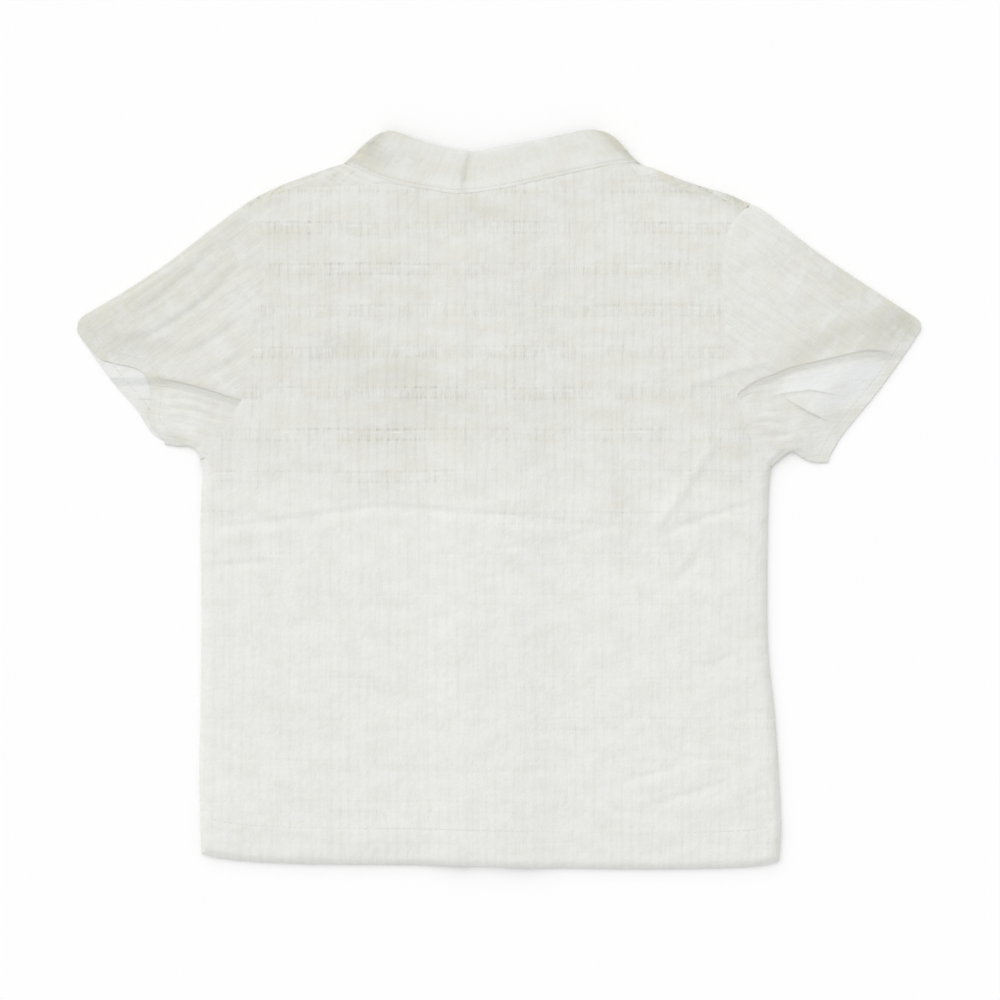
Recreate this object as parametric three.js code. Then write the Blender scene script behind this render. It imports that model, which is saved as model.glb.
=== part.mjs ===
// A toddler's short-sleeved shirt with a band collar, buttoned up and laid flat, face down.
// Millimetres. The shirt is seen from above, on its back panel: +X is the right of the view,
// +Y points from the hem to the collar, +Z is up, and the fronts rest on the plane z = 0.
import * as THREE from "three";

// Cloth
const CLOTH = 1.0; // wall of the body and sleeve cloth
const BAND_CLOTH = 1.25; // doubled cloth of the collar and the two front bands
const HEM_STEP = 0.3; // what a turned hem adds to the wall
const HEM_SLOPE = 1; // width over which the body's wall thickens at the hem
const SLEEVE_HEM_SLOPE = 2;
const SEAM_GAP = 0.35; // space left between neighbouring pieces
const BEND_GAP = 0.1; // more of it where the edges beside it bend
const BODY_HEM = 20; // height of the turned hem round the body
const SLEEVE_HEM = 6.5;

// How the layers lie on each other
const FOLD_RADIUS = 1.9; // how far a folded edge rounds in from the outline
const EDGE_TOP = 2 * CLOTH + SEAM_GAP + BEND_GAP; // top of the upper layer right at the outline
const ROLL_WIDTH = 3;
const ROLL_RISE = 1.4;
const CROWN_REACH = 20; // how far in from the outline the air between the layers builds up
const CROWN_RISE = 1.5;
const CREASE_MARGIN = 14; // distance from the outline at which a fold has its full height
const CREASE_ENDS = 6; // a fold fades out over this part of its length at each end

// Button front, hidden under the back
const CENTRE_X = -6;
const BAND_HALF_WIDTH = 9;
const UPPER_BAND_Z = BAND_CLOTH + SEAM_GAP; // underside of the band that lies on the other one
const RAMP_END = 26; // distance from the centre at which the right front is back on the table
const RAMP_START = BAND_HALF_WIDTH + 0.6;
// The back stands a little higher over the bands than they are thick, and comes down beside
// them: on each side, how far off it is down again and over what width, and the same in y.
const BAND_RISE = UPPER_BAND_Z * 1.15;
const RISE_LEFT = { end: 36, width: 25 };
const RISE_RIGHT = { end: 40, width: 28 };
const RISE_TOP = { end: 162, width: 18 };
const FIRST_BUTTON_Y = 106;
const BUTTON_PITCH = 50;
const BUTTON_COUNT = 5;
const COLLAR_BUTTON_Y = 130.4;
const BUTTON_RADIUS = 5.2;
const BUTTON_HEIGHT = 2.0;
const BUTTON_BEVEL = 0.4;
const BUTTON_HOLE_RADIUS = 0.55;
const BUTTON_HOLE_SPREAD = 1.6;
const BUTTON_SIDES = 20;
const BUTTON_HOLE_SIDES = 6;
const BUMP_FLAT = 5.8; // half width of the flat spot that a band makes over a button
const BUMP_END_X = 8.9;
const BUMP_END_Y = 12;

// Collar
const COLLAR_FOLD_RADIUS = 2.2;
const COLLAR_LIFT = 0.9; // how much higher the top edge of the band stands than its seam
const COLLAR_SEAM_Z = 4.9; // top of the band at its seam
const COLLAR_FOLLOW = 0.05; // how much of the back's own rise the band takes up
const COLLAR_HEIGHT = 20; // height of the band
const NECK_Y = 120.4; // seam of the collar at the centre front

// How finely the seams are divided; neighbouring pieces share these steps
const ARMHOLE_STEPS = 15;
const SHOULDER_STEPS = 8;
const NECK_STEPS = 9;
const NECK_BACK_STEPS = 14;
const NECK_SIDE_STEPS = 4;
const BACK_SIDE_STEPS = 20;
const FRONT_SIDE_STEPS = 8;
const SLEEVE_STEPS = 12;
const COLLAR_BACK_STEPS = 18;
const HEM_CURVE_STEPS = 60;
const COLLAR_SHARES = [0, 0.2, 0.5, 0.8, 1]; // rows of the band, as shares of its height
const FOLD_TURNS = [0.25, 0.5, 0.75]; // points round a folded edge
const BEND_FADE = 3; // how fast the bend of a side edge fades out inside a panel

// Seams and edges of the laid-out shirt, seen from above
const HEM_EDGE = [
  { x: -149.5, y: -177.5 },
  { x: -134, y: -180.5 },
  { x: -98, y: -182.6 },
  { x: -36, y: -183.2 },
  { x: 28, y: -184.7 },
  { x: 82, y: -185.2 },
  { x: 124, y: -184 },
  { x: 139.5, y: -181.3 },
];
const SIDE_LEFT = [
  { x: -149.5, y: -177.5 },
  { x: -150.4, y: -140.5 },
  { x: -149.8, y: -100.5 },
  { x: -149.4, y: -50.5 },
  { x: -149.9, y: -10.5 },
  { x: -148.6, y: 13 },
  { x: -149.8, y: 19.4 },
];
const SIDE_RIGHT = [
  { x: 139.5, y: -181.3 },
  { x: 140.4, y: -158 },
  { x: 137.6, y: -110 },
  { x: 134.4, y: -80 },
  { x: 133.6, y: -50.5 },
  { x: 134, y: -10.5 },
  { x: 134.9, y: 10 },
  { x: 135.8, y: 16.2 },
];
const ARMHOLE_LEFT = [
  { x: -149.8, y: 19.4 },
  { x: -145.2, y: 22.6 },
  { x: -137.5, y: 34.5 },
  { x: -128, y: 53.5 },
  { x: -122.5, y: 78 },
  { x: -119, y: 99.5 },
  { x: -117.8, y: 121 },
  { x: -122.6, y: 134.5 },
  { x: -127.4, y: 144.4 },
];
const ARMHOLE_RIGHT = [
  { x: 135.8, y: 16.2 },
  { x: 131, y: 19.8 },
  { x: 126, y: 28 },
  { x: 118.5, y: 52 },
  { x: 113.4, y: 70 },
  { x: 112, y: 95.5 },
  { x: 111.2, y: 116.5 },
  { x: 113.2, y: 131 },
  { x: 117.6, y: 139.5 },
  { x: 122.8, y: 145.2 },
];
// Outline of each shoulder, where the front folds over to the back, from armhole to collar
const SHOULDER_FOLD_LEFT = [
  { x: -128.5, y: 147 },
  { x: -120, y: 152 },
  { x: -108, y: 157.5 },
  { x: -96, y: 162 },
  { x: -84, y: 166.4 },
  { x: -79.2, y: 167.1 },
];
const SHOULDER_FOLD_RIGHT = [
  { x: 124.5, y: 147.8 },
  { x: 114, y: 152.5 },
  { x: 102, y: 156 },
  { x: 90, y: 160 },
  { x: 78, y: 165.4 },
  { x: 71.5, y: 166.8 },
];
// Shoulder seams, which lie on the back, from armhole to collar
const SHOULDER_SEAM_LEFT = [
  { x: -127.4, y: 144.4 },
  { x: -119, y: 149 },
  { x: -108.5, y: 153.8 },
  { x: -97, y: 155.2 },
  { x: -80, y: 155.8 },
  { x: -62, y: 156.8 },
  { x: -50, y: 156.2 },
];
const SHOULDER_SEAM_RIGHT = [
  { x: 122.8, y: 145.2 },
  { x: 112, y: 148.4 },
  { x: 100, y: 151.6 },
  { x: 86, y: 156.2 },
  { x: 71, y: 161.2 },
  { x: 57, y: 166.2 },
];
// Seam of the collar on the back, from the left fold to the right one
const COLLAR_SEAM = [
  { x: -78, y: 168 },
  { x: -69.5, y: 164 },
  { x: -61.7, y: 160.3 },
  { x: -49, y: 156.5 },
  { x: -36.3, y: 154.3 },
  { x: -20, y: 152.3 },
  { x: 2, y: 155 },
  { x: 27.5, y: 160.7 },
  { x: 53, y: 166.2 },
  { x: 64, y: 167.6 },
  { x: 70, y: 168 },
];
const COLLAR_TOP_EDGE = [
  { x: -59.5, y: 184.3 },
  { x: -54, y: 184.5 },
  { x: -42, y: 181 },
  { x: -30, y: 177 },
  { x: -14, y: 174.2 },
  { x: 0, y: 177 },
  { x: 24, y: 181 },
  { x: 44, y: 185.1 },
  { x: 52, y: 184.6 },
];
// Seam and top edge of the collar under the shirt, from each fold to the edge of the front
const NECK_SEAM_LEFT = [
  { x: -78, y: 168 },
  { x: -73, y: 150 },
  { x: -61, y: 134 },
  { x: -43, y: 124 },
  { x: -28, y: 120.9 },
  { x: -15.4, y: 120.4 },
];
const NECK_TOP_LEFT = [
  { x: -59.5, y: 184.3 },
  { x: -54, y: 165 },
  { x: -46, y: 152 },
  { x: -36, y: 145 },
  { x: -26, y: 141.4 },
  { x: -15.4, y: 140.4 },
];
const NECK_SEAM_RIGHT = [
  { x: 70, y: 168 },
  { x: 64, y: 150 },
  { x: 50, y: 134 },
  { x: 32, y: 124 },
  { x: 16, y: 120.9 },
  { x: 3.4, y: 120.4 },
];
const NECK_TOP_RIGHT = [
  { x: 52, y: 184.6 },
  { x: 45, y: 165 },
  { x: 35, y: 152 },
  { x: 24, y: 145 },
  { x: 14, y: 141.4 },
  { x: 3.4, y: 140.4 },
];
// Sleeves: the fold along the top, the short fold at the underarm, and the hem of each layer
const SLEEVE_TOP_LEFT = [
  { x: -129.3, y: 146.4 },
  { x: -144, y: 135.5 },
  { x: -168, y: 117 },
  { x: -192, y: 101.5 },
  { x: -204, y: 94.5 },
  { x: -212, y: 88.5 },
];
const SLEEVE_TOP_RIGHT = [
  { x: 125.4, y: 147.5 },
  { x: 132, y: 144.2 },
  { x: 156, y: 125.5 },
  { x: 180, y: 109 },
  { x: 204, y: 93.5 },
  { x: 212, y: 88.5 },
];
const UNDERARM_LEFT = [
  { x: -150.7, y: 20.9 },
  { x: -151.8, y: 24 },
  { x: -155.5, y: 26.5 },
];
const UNDERARM_RIGHT = [
  { x: 136.8, y: 16.8 },
  { x: 140.5, y: 20 },
  { x: 146, y: 24.2 },
];
const HEM_UNDER_LEFT = [
  { x: -210.8, y: 81.5 },
  { x: -202, y: 69.5 },
  { x: -193, y: 57.5 },
  { x: -182.5, y: 45.5 },
  { x: -174.5, y: 33.5 },
  { x: -168, y: 27.2 },
  { x: -161, y: 26.5 },
];
const HEM_OVER_LEFT = [
  { x: -210.4, y: 81.5 },
  { x: -201, y: 71 },
  { x: -194, y: 68.3 },
  { x: -179.5, y: 64 },
  { x: -175, y: 54 },
  { x: -175.8, y: 40.5 },
  { x: -171, y: 31.5 },
  { x: -161, y: 31 },
];
const HEM_UNDER_RIGHT = [
  { x: 208.7, y: 81.5 },
  { x: 192, y: 57.5 },
  { x: 172.5, y: 33.5 },
  { x: 167.8, y: 26 },
  { x: 164, y: 18.2 },
  { x: 154, y: 18.6 },
];
const HEM_OVER_RIGHT = [
  { x: 208.2, y: 81.5 },
  { x: 191.6, y: 57.5 },
  { x: 172.2, y: 33.8 },
  { x: 166.4, y: 27 },
  { x: 160, y: 23 },
  { x: 153, y: 23 },
];

// The largest folds of the upper layer. Each runs from x1,y1 to x2,y2 and bows sideways;
// width is its half width and rise its height, below zero for a crease.
const FOLDS = [
  { x1: -150, y1: -14, x2: 66, y2: -15, bow: 9, width: 6, rise: -1.3 },
  { x1: -152, y1: -26, x2: -96, y2: -15, bow: 0, width: 5, rise: 0.8 },
  { x1: -150, y1: -34, x2: -104, y2: -30, bow: 0, width: 5, rise: -0.8 },
  { x1: 108, y1: 34, x2: 74, y2: -21, bow: 3, width: 6, rise: 1.3 },
  { x1: 77, y1: -21, x2: 128, y2: -2, bow: -2, width: 6, rise: -1.1 },
  { x1: 103, y1: -15, x2: 80, y2: -48, bow: -3, width: 6, rise: -0.8 },
  { x1: 56, y1: 14, x2: 64, y2: -18, bow: 0, width: 6, rise: -0.9 },
  { x1: 66, y1: -108, x2: 120, y2: -129, bow: -9, width: 6, rise: -0.9 },
  { x1: 42, y1: -133, x2: 72, y2: -157, bow: -4, width: 6, rise: -0.7 },
  { x1: 72, y1: -155, x2: 121, y2: -138, bow: 2, width: 6, rise: -0.8 },
  { x1: 84, y1: 53, x2: 140, y2: 70, bow: 1, width: 8, rise: 1.2 },
  { x1: 118, y1: 50, x2: 196, y2: 72, bow: 5, width: 6, rise: -1.6 },
  { x1: 142, y1: 69, x2: 206, y2: 91, bow: 2, width: 7, rise: -1.1 },
  { x1: 140, y1: 50, x2: 166, y2: 38, bow: 0, width: 5, rise: -1.0 },
  { x1: -182, y1: 69, x2: -124, y2: 56, bow: 2, width: 7, rise: 1.0 },
  { x1: -178, y1: 60, x2: -125, y2: 48, bow: 2, width: 6, rise: -1.7 },
];

const CLOTH_COLOUR = 0xe6e7e1;
const BAND_COLOUR = 0xe4e5df;
const BUTTON_COLOUR = 0xe9e6dc;
const CLOTH_ROUGHNESS = 0.92;
const BAND_ROUGHNESS = 0.9;
const BUTTON_ROUGHNESS = 0.4;

// Curves and sheets

function vectors(table) {
  return table.map((row) => new THREE.Vector2(row.x, row.y));
}

// Points along a smooth curve through a table's rows, at equal steps or at given distances.
function spaced(points, steps) {
  return new THREE.SplineCurve(points).getSpacedPoints(steps);
}

function atDistances(points, distances) {
  const curve = new THREE.SplineCurve(points);
  const length = curve.getLength();
  return distances.map((distance) => curve.getPointAt(Math.min(distance / length, 1)));
}

function leftOf(from, to) {
  const along = to.clone().sub(from).normalize();
  return new THREE.Vector2(-along.y, along.x);
}

function shifted(points, distance) {
  return points.map((point, i) => {
    const before = points[Math.max(i - 1, 0)];
    const after = points[Math.min(i + 1, points.length - 1)];
    return point.clone().addScaledVector(leftOf(before, after), distance);
  });
}

function lengthFractions(points) {
  const sums = [0];
  for (let i = 1; i < points.length; i++) {
    sums.push(sums[i - 1] + points[i].distanceTo(points[i - 1]));
  }
  return sums.map((sum) => sum / sums[sums.length - 1]);
}

// A grid of points filled in between four boundary curves, as grid[row][column]. What bends
// the left and right curves away from straight fades out towards the middle of the grid.
function filled(bottom, top, left, right) {
  const uBottom = lengthFractions(bottom);
  const uTop = lengthFractions(top);
  const vLeft = lengthFractions(left);
  const vRight = lengthFractions(right);
  const last = bottom.length - 1;
  return left.map((leftPoint, j) =>
    bottom.map((bottomPoint, i) => {
      const v = (vLeft[j] + vRight[j]) / 2;
      const u = uBottom[i] * (1 - v) + uTop[i] * v;
      const leftBend = leftPoint.clone().sub(bottom[0].clone().lerp(top[0], v));
      const rightBend = right[j].clone().sub(bottom[last].clone().lerp(top[last], v));
      return bottomPoint
        .clone()
        .lerp(top[i], v)
        .addScaledVector(leftBend, (1 - u) ** BEND_FADE)
        .addScaledVector(rightBend, u ** BEND_FADE);
    }),
  );
}

const UP = new THREE.Vector3(0, 0, 1);
const DOWN = new THREE.Vector3(0, 0, -1);

// Points and four-sided cells of one sheet, joined where grids share rows. The sheet is the
// outer face; each point has the thickness of the wall behind it and the side it lies on,
// UP for a layer on the table, DOWN for an upper layer, or null for square to the sheet.
class Sheet {
  constructor() {
    this.points = [];
    this.walls = [];
    this.sides = [];
    this.cells = [];
  }

  point(x, y, z, wall, side = null) {
    this.points.push(new THREE.Vector3(x, y, z));
    this.walls.push(wall);
    this.sides.push(side);
    return this.points.length - 1;
  }

  // Cells between rows of point numbers; closed joins the last column to the first.
  rows(rows, turned, closed = false) {
    const columns = rows[0].length;
    const cellsAcross = closed ? columns : columns - 1;
    for (let j = 0; j + 1 < rows.length; j++) {
      for (let i = 0; i < cellsAcross; i++) {
        const next = (i + 1) % columns;
        const cell = [rows[j][i], rows[j][next], rows[j + 1][next], rows[j + 1][i]];
        this.cells.push(turned ? cell.reverse() : cell);
      }
    }
  }

  // The cell's corners turned so that cutting it from the first to the third stays inside it.
  diagonalFirst([a, b, c, d]) {
    const corner = (from, to) => this.points[to].clone().sub(this.points[from]);
    const normal = corner(a, c).cross(corner(b, d));
    const smaller = (p, q, r, s) =>
      Math.min(
        corner(p, q).cross(corner(p, r)).dot(normal),
        corner(p, r).cross(corner(p, s)).dot(normal),
      );
    return smaller(a, b, c, d) >= smaller(b, c, d, a) ? [a, b, c, d] : [b, c, d, a];
  }

  // The closed solid between the sheet and its copy one wall behind it.
  solid() {
    const normals = this.points.map(() => new THREE.Vector3());
    for (const [a, b, c, d] of this.cells) {
      const across = this.points[c].clone().sub(this.points[a]);
      const along = this.points[d].clone().sub(this.points[b]);
      const normal = across.cross(along);
      for (const index of [a, b, c, d]) normals[index].add(normal);
    }
    const inner = this.points.map((point, i) => {
      const behind = this.sides[i] ?? normals[i].normalize().negate();
      return point.clone().addScaledVector(behind, this.walls[i]);
    });
    const corners = [...this.points, ...inner];
    const offset = this.points.length;
    const triangles = [];
    const edges = new Map();
    for (const cell of this.cells) {
      const [a, b, c, d] = this.diagonalFirst(cell);
      triangles.push(a, b, c, a, c, d);
      triangles.push(offset + a, offset + c, offset + b, offset + a, offset + d, offset + c);
      for (const [from, to] of [[a, b], [b, c], [c, d], [d, a]]) {
        if (edges.has(`${to}_${from}`)) edges.delete(`${to}_${from}`);
        else edges.set(`${from}_${to}`, [from, to]);
      }
    }
    for (const [from, to] of edges.values()) {
      triangles.push(from, offset + from, offset + to, from, offset + to, to);
    }
    const positions = corners.flatMap((corner) => [corner.x, corner.y, corner.z]);
    const geometry = new THREE.BufferGeometry();
    geometry.setAttribute("position", new THREE.Float32BufferAttribute(positions, 3));
    geometry.setIndex(triangles);
    geometry.computeVertexNormals();
    return geometry;
  }
}

function smooth(t) {
  const s = Math.min(Math.max(t, 0), 1);
  return s * s * (3 - 2 * s);
}

// Heights

const OUTLINE = [
  ...spaced(vectors(SIDE_LEFT), 10),
  ...spaced(vectors(UNDERARM_LEFT), 3),
  ...spaced(vectors(HEM_UNDER_LEFT).reverse(), 10),
  ...spaced(vectors(SLEEVE_TOP_LEFT).reverse(), 8),
  ...spaced(vectors(SHOULDER_FOLD_LEFT), 6),
  ...spaced(vectors(COLLAR_TOP_EDGE), 10),
  ...spaced(vectors(SHOULDER_FOLD_RIGHT).reverse(), 6),
  ...spaced(vectors(SLEEVE_TOP_RIGHT), 8),
  ...spaced(vectors(HEM_UNDER_RIGHT), 10),
  ...spaced(vectors(UNDERARM_RIGHT).reverse(), 3),
  ...spaced(vectors(SIDE_RIGHT).reverse(), 10),
  ...spaced(vectors(HEM_EDGE).reverse(), 12),
];

function edgeDistance(x, y) {
  let nearest = Infinity;
  OUTLINE.forEach((start, i) => {
    const end = OUTLINE[(i + 1) % OUTLINE.length];
    const dx = end.x - start.x;
    const dy = end.y - start.y;
    const square = dx * dx + dy * dy;
    if (square === 0) return;
    const t = Math.min(Math.max(((x - start.x) * dx + (y - start.y) * dy) / square, 0), 1);
    nearest = Math.min(nearest, Math.hypot(x - start.x - t * dx, y - start.y - t * dy));
  });
  return nearest;
}

function foldRise(x, y) {
  let rise = 0;
  for (const fold of FOLDS) {
    const dx = fold.x2 - fold.x1;
    const dy = fold.y2 - fold.y1;
    const length = Math.hypot(dx, dy);
    const along = ((x - fold.x1) * dx + (y - fold.y1) * dy) / (length * length);
    if (along <= 0 || along >= 1) continue;
    const aside = ((y - fold.y1) * dx - (x - fold.x1) * dy) / length;
    const off = (aside - fold.bow * 4 * along * (1 - along)) / fold.width;
    const ends = smooth(along * CREASE_ENDS) * smooth((1 - along) * CREASE_ENDS);
    rise += fold.rise * Math.exp(-off * off) * ends;
  }
  return rise;
}

// How much the upper layer is carried by the two bands and the collar ends under it.
function bandRise(x, y) {
  const left = smooth((x - CENTRE_X + RISE_LEFT.end) / RISE_LEFT.width);
  const right = smooth((CENTRE_X + RISE_RIGHT.end - x) / RISE_RIGHT.width);
  return BAND_RISE * Math.min(left, right) * smooth((RISE_TOP.end - y) / RISE_TOP.width);
}

function inBodyHem(y, hemY) {
  return smooth((BODY_HEM + HEM_SLOPE - (y - hemY)) / HEM_SLOPE);
}

// Top of the upper layer, without what the hem adds.
function upperTop(x, y) {
  const inside = edgeDistance(x, y);
  const roll = ROLL_RISE * smooth(inside / ROLL_WIDTH);
  const crown = CROWN_RISE * (1 - Math.exp(-inside / CROWN_REACH));
  const creases = foldRise(x, y) * smooth(inside / CREASE_MARGIN);
  return EDGE_TOP + roll + crown + bandRise(x, y) + creases;
}

// How far the buttons push the bands up from the table.
function buttonRise(x, y) {
  const aside = smooth((BUMP_END_X - Math.abs(x - CENTRE_X)) / (BUMP_END_X - BUMP_FLAT));
  const nearest = Math.min(...buttonCentres().map((centre) => Math.abs(y - centre)));
  const along = smooth((BUMP_END_Y - nearest) / (BUMP_END_Y - BUMP_FLAT));
  return (BUTTON_HEIGHT + SEAM_GAP) * Math.min(aside, along);
}

function buttonCentres() {
  const centres = [COLLAR_BUTTON_Y];
  for (let i = 0; i < BUTTON_COUNT; i++) centres.push(FIRST_BUTTON_Y - i * BUTTON_PITCH);
  return centres;
}

// How far the right front stands off the table where it lies on the left one.
function rightLift(x) {
  return UPPER_BAND_Z * smooth((CENTRE_X + RAMP_END - x) / (RAMP_END - RAMP_START));
}

const HEM_CURVE = spaced(vectors(HEM_EDGE), HEM_CURVE_STEPS);

function hemY(x) {
  const i = HEM_CURVE.findIndex((point) => point.x > x);
  if (i < 1) return HEM_CURVE[i < 0 ? HEM_CURVE.length - 1 : 0].y;
  const before = HEM_CURVE[i - 1];
  const after = HEM_CURVE[i];
  return before.y + ((after.y - before.y) * (x - before.x)) / (after.x - before.x);
}

// The side seam and the armhole as one run of rows; a closer pair of rows marks the hem.
function sideRows(isLeft, sideSteps) {
  const side = isLeft ? SIDE_LEFT : SIDE_RIGHT;
  const length = new THREE.SplineCurve(vectors(side)).getLength();
  const start = BODY_HEM + HEM_SLOPE;
  const distances = [0, BODY_HEM / 2, BODY_HEM, start];
  for (let i = 1; i <= sideSteps; i++) distances.push(start + ((length - start) * i) / sideSteps);
  const up = atDistances(vectors(side), distances);
  return [...up, ...armholeSeam(isLeft).slice(1)];
}

function armholeSeam(isLeft) {
  return spaced(vectors(isLeft ? ARMHOLE_LEFT : ARMHOLE_RIGHT), ARMHOLE_STEPS);
}

function shoulderSeam(isLeft) {
  return spaced(vectors(isLeft ? SHOULDER_SEAM_LEFT : SHOULDER_SEAM_RIGHT), SHOULDER_STEPS);
}

// Where the collar folds over at one side of the neck: its seam end, its top end, and the
// direction in which the band runs on at a share of its height.
function collarFold(isLeft) {
  const seams = vectors(COLLAR_SEAM);
  const tops = vectors(COLLAR_TOP_EDGE);
  if (!isLeft) {
    seams.reverse();
    tops.reverse();
  }
  const seamRun = seams[1].clone().sub(seams[0]).normalize();
  const topRun = new THREE.Vector2(isLeft ? 1 : -1, 0);
  const inwardAt = (share) => seamRun.clone().lerp(topRun, share).normalize();
  return { seam: seams[0], top: tops[0], inwardAt };
}

// Seam of the collar on a front, from where the fold has come down to the edge of the front.
function neckSeam(isLeft) {
  const fold = collarFold(isLeft);
  const start = fold.seam.clone().addScaledVector(fold.inwardAt(0), COLLAR_FOLD_RADIUS);
  const table = vectors(isLeft ? NECK_SEAM_LEFT : NECK_SEAM_RIGHT);
  return spaced([start, ...table.slice(1)], NECK_STEPS);
}

// Pieces

function backPanel() {
  const left = sideRows(true, BACK_SIDE_STEPS);
  const right = sideRows(false, BACK_SIDE_STEPS);
  const seamLeft = shoulderSeam(true);
  const seamRight = shoulderSeam(false).reverse();
  // The collar's seam between the two shoulder seams
  const neck = vectors(COLLAR_SEAM).slice(3, 9);
  neck[0] = seamLeft[seamLeft.length - 1].clone();
  neck[neck.length - 1] = seamRight[0].clone();
  const edge = [...seamLeft, ...spaced(neck, NECK_BACK_STEPS).slice(1), ...seamRight.slice(1)];
  const top = shifted(edge, -SEAM_GAP - BEND_GAP);
  left[left.length - 1] = top[0];
  right[right.length - 1] = top[top.length - 1];
  const bottom = spaced(vectors(HEM_EDGE), top.length - 1);
  const sheet = new Sheet();
  const grid = filled(bottom, top, left, right).map((row) =>
    row.map((point) => {
      const hem = inBodyHem(point.y, hemY(point.x));
      const height = upperTop(point.x, point.y) + 2 * HEM_STEP * hem;
      return sheet.point(point.x, point.y, height, CLOTH + HEM_STEP * hem, DOWN);
    }),
  );
  sheet.rows(grid, false);
  return sheet.solid();
}

// Height and place of a folded edge: turn 0 is under the fold, 0.5 the outline, 1 on top.
function foldPoint(outer, inward, radius, height, turn) {
  const angle = Math.PI * turn;
  const at = outer.clone().addScaledVector(inward, radius * (1 - Math.sin(angle)));
  return { x: at.x, y: at.y, z: (height / 2) * (1 - Math.cos(angle)) };
}

function frontPanel(isLeft) {
  const sign = isLeft ? 1 : -1;
  const edgeX = CENTRE_X - sign * (BAND_HALF_WIDTH + SEAM_GAP);
  const side = sideRows(isLeft, FRONT_SIDE_STEPS);
  const outerTable = isLeft ? SHOULDER_FOLD_LEFT : SHOULDER_FOLD_RIGHT;
  const outer = spaced(vectors(outerTable), SHOULDER_STEPS);
  const seam = shoulderSeam(isLeft);
  const alongCollar = collarFold(isLeft).inwardAt(0);
  const inward = outer.map((point, i) => {
    const before = outer[Math.max(i - 1, 0)];
    const after = outer[Math.min(i + 1, SHOULDER_STEPS)];
    const square = leftOf(before, after).multiplyScalar(-sign);
    return square.lerp(alongCollar, smooth((3 * i) / SHOULDER_STEPS - 2)).normalize();
  });
  const fold = outer.map((point, i) => point.clone().addScaledVector(inward[i], FOLD_RADIUS));
  const neckline = shifted(neckSeam(isLeft), -sign * (SEAM_GAP + BEND_GAP)).slice(1);
  neckline[neckline.length - 1].x = edgeX;
  const top = [...fold, ...neckline];
  const last = top.length - 1;
  side[side.length - 1] = top[0];
  const bottom = top.map((point, i) => {
    const x = side[0].x + ((edgeX - side[0].x) * i) / last;
    return new THREE.Vector2(x, i === 0 ? side[0].y : hemY(x));
  });
  const centre = lengthFractions(side).map(
    (share) => new THREE.Vector2(edgeX, bottom[last].y + (top[last].y - bottom[last].y) * share),
  );
  const sheet = new Sheet();
  const grid = filled(bottom, top, side, centre).map((row) =>
    row.map((point) => {
      const wall = CLOTH + HEM_STEP * inBodyHem(point.y, hemY(point.x));
      return sheet.point(point.x, point.y, isLeft ? 0 : rightLift(point.x), wall, UP);
    }),
  );
  sheet.rows(grid, isLeft);

  // Over the shoulder and on to the seam on the back
  const over = [grid[grid.length - 1].slice(0, SHOULDER_STEPS + 1)];
  for (const turn of FOLD_TURNS) {
    over.push(
      outer.map((point, i) => {
        const height = upperTop(fold[i].x, fold[i].y);
        const at = foldPoint(point, inward[i], FOLD_RADIUS, height, turn);
        return sheet.point(at.x, at.y, at.z, CLOTH);
      }),
    );
  }
  // The collar's seam between the fold and the shoulder seam
  const collar = vectors(COLLAR_SEAM);
  if (!isLeft) collar.reverse();
  const beside = shifted(collar, -sign * (SEAM_GAP + BEND_GAP)).slice(1, isLeft ? 3 : 2);
  const neckSide = spaced([fold[SHOULDER_STEPS], ...beside, seam[SHOULDER_STEPS]], NECK_SIDE_STEPS);
  const armSide = neckSide.map((point, i) => fold[0].clone().lerp(seam[0], i / NECK_SIDE_STEPS));
  for (const row of filled(fold, seam, armSide, neckSide)) {
    over.push(
      row.map((point) => {
        return sheet.point(point.x, point.y, upperTop(point.x, point.y), CLOTH, DOWN);
      }),
    );
  }
  sheet.rows(over, isLeft);
  return sheet.solid();
}

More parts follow.
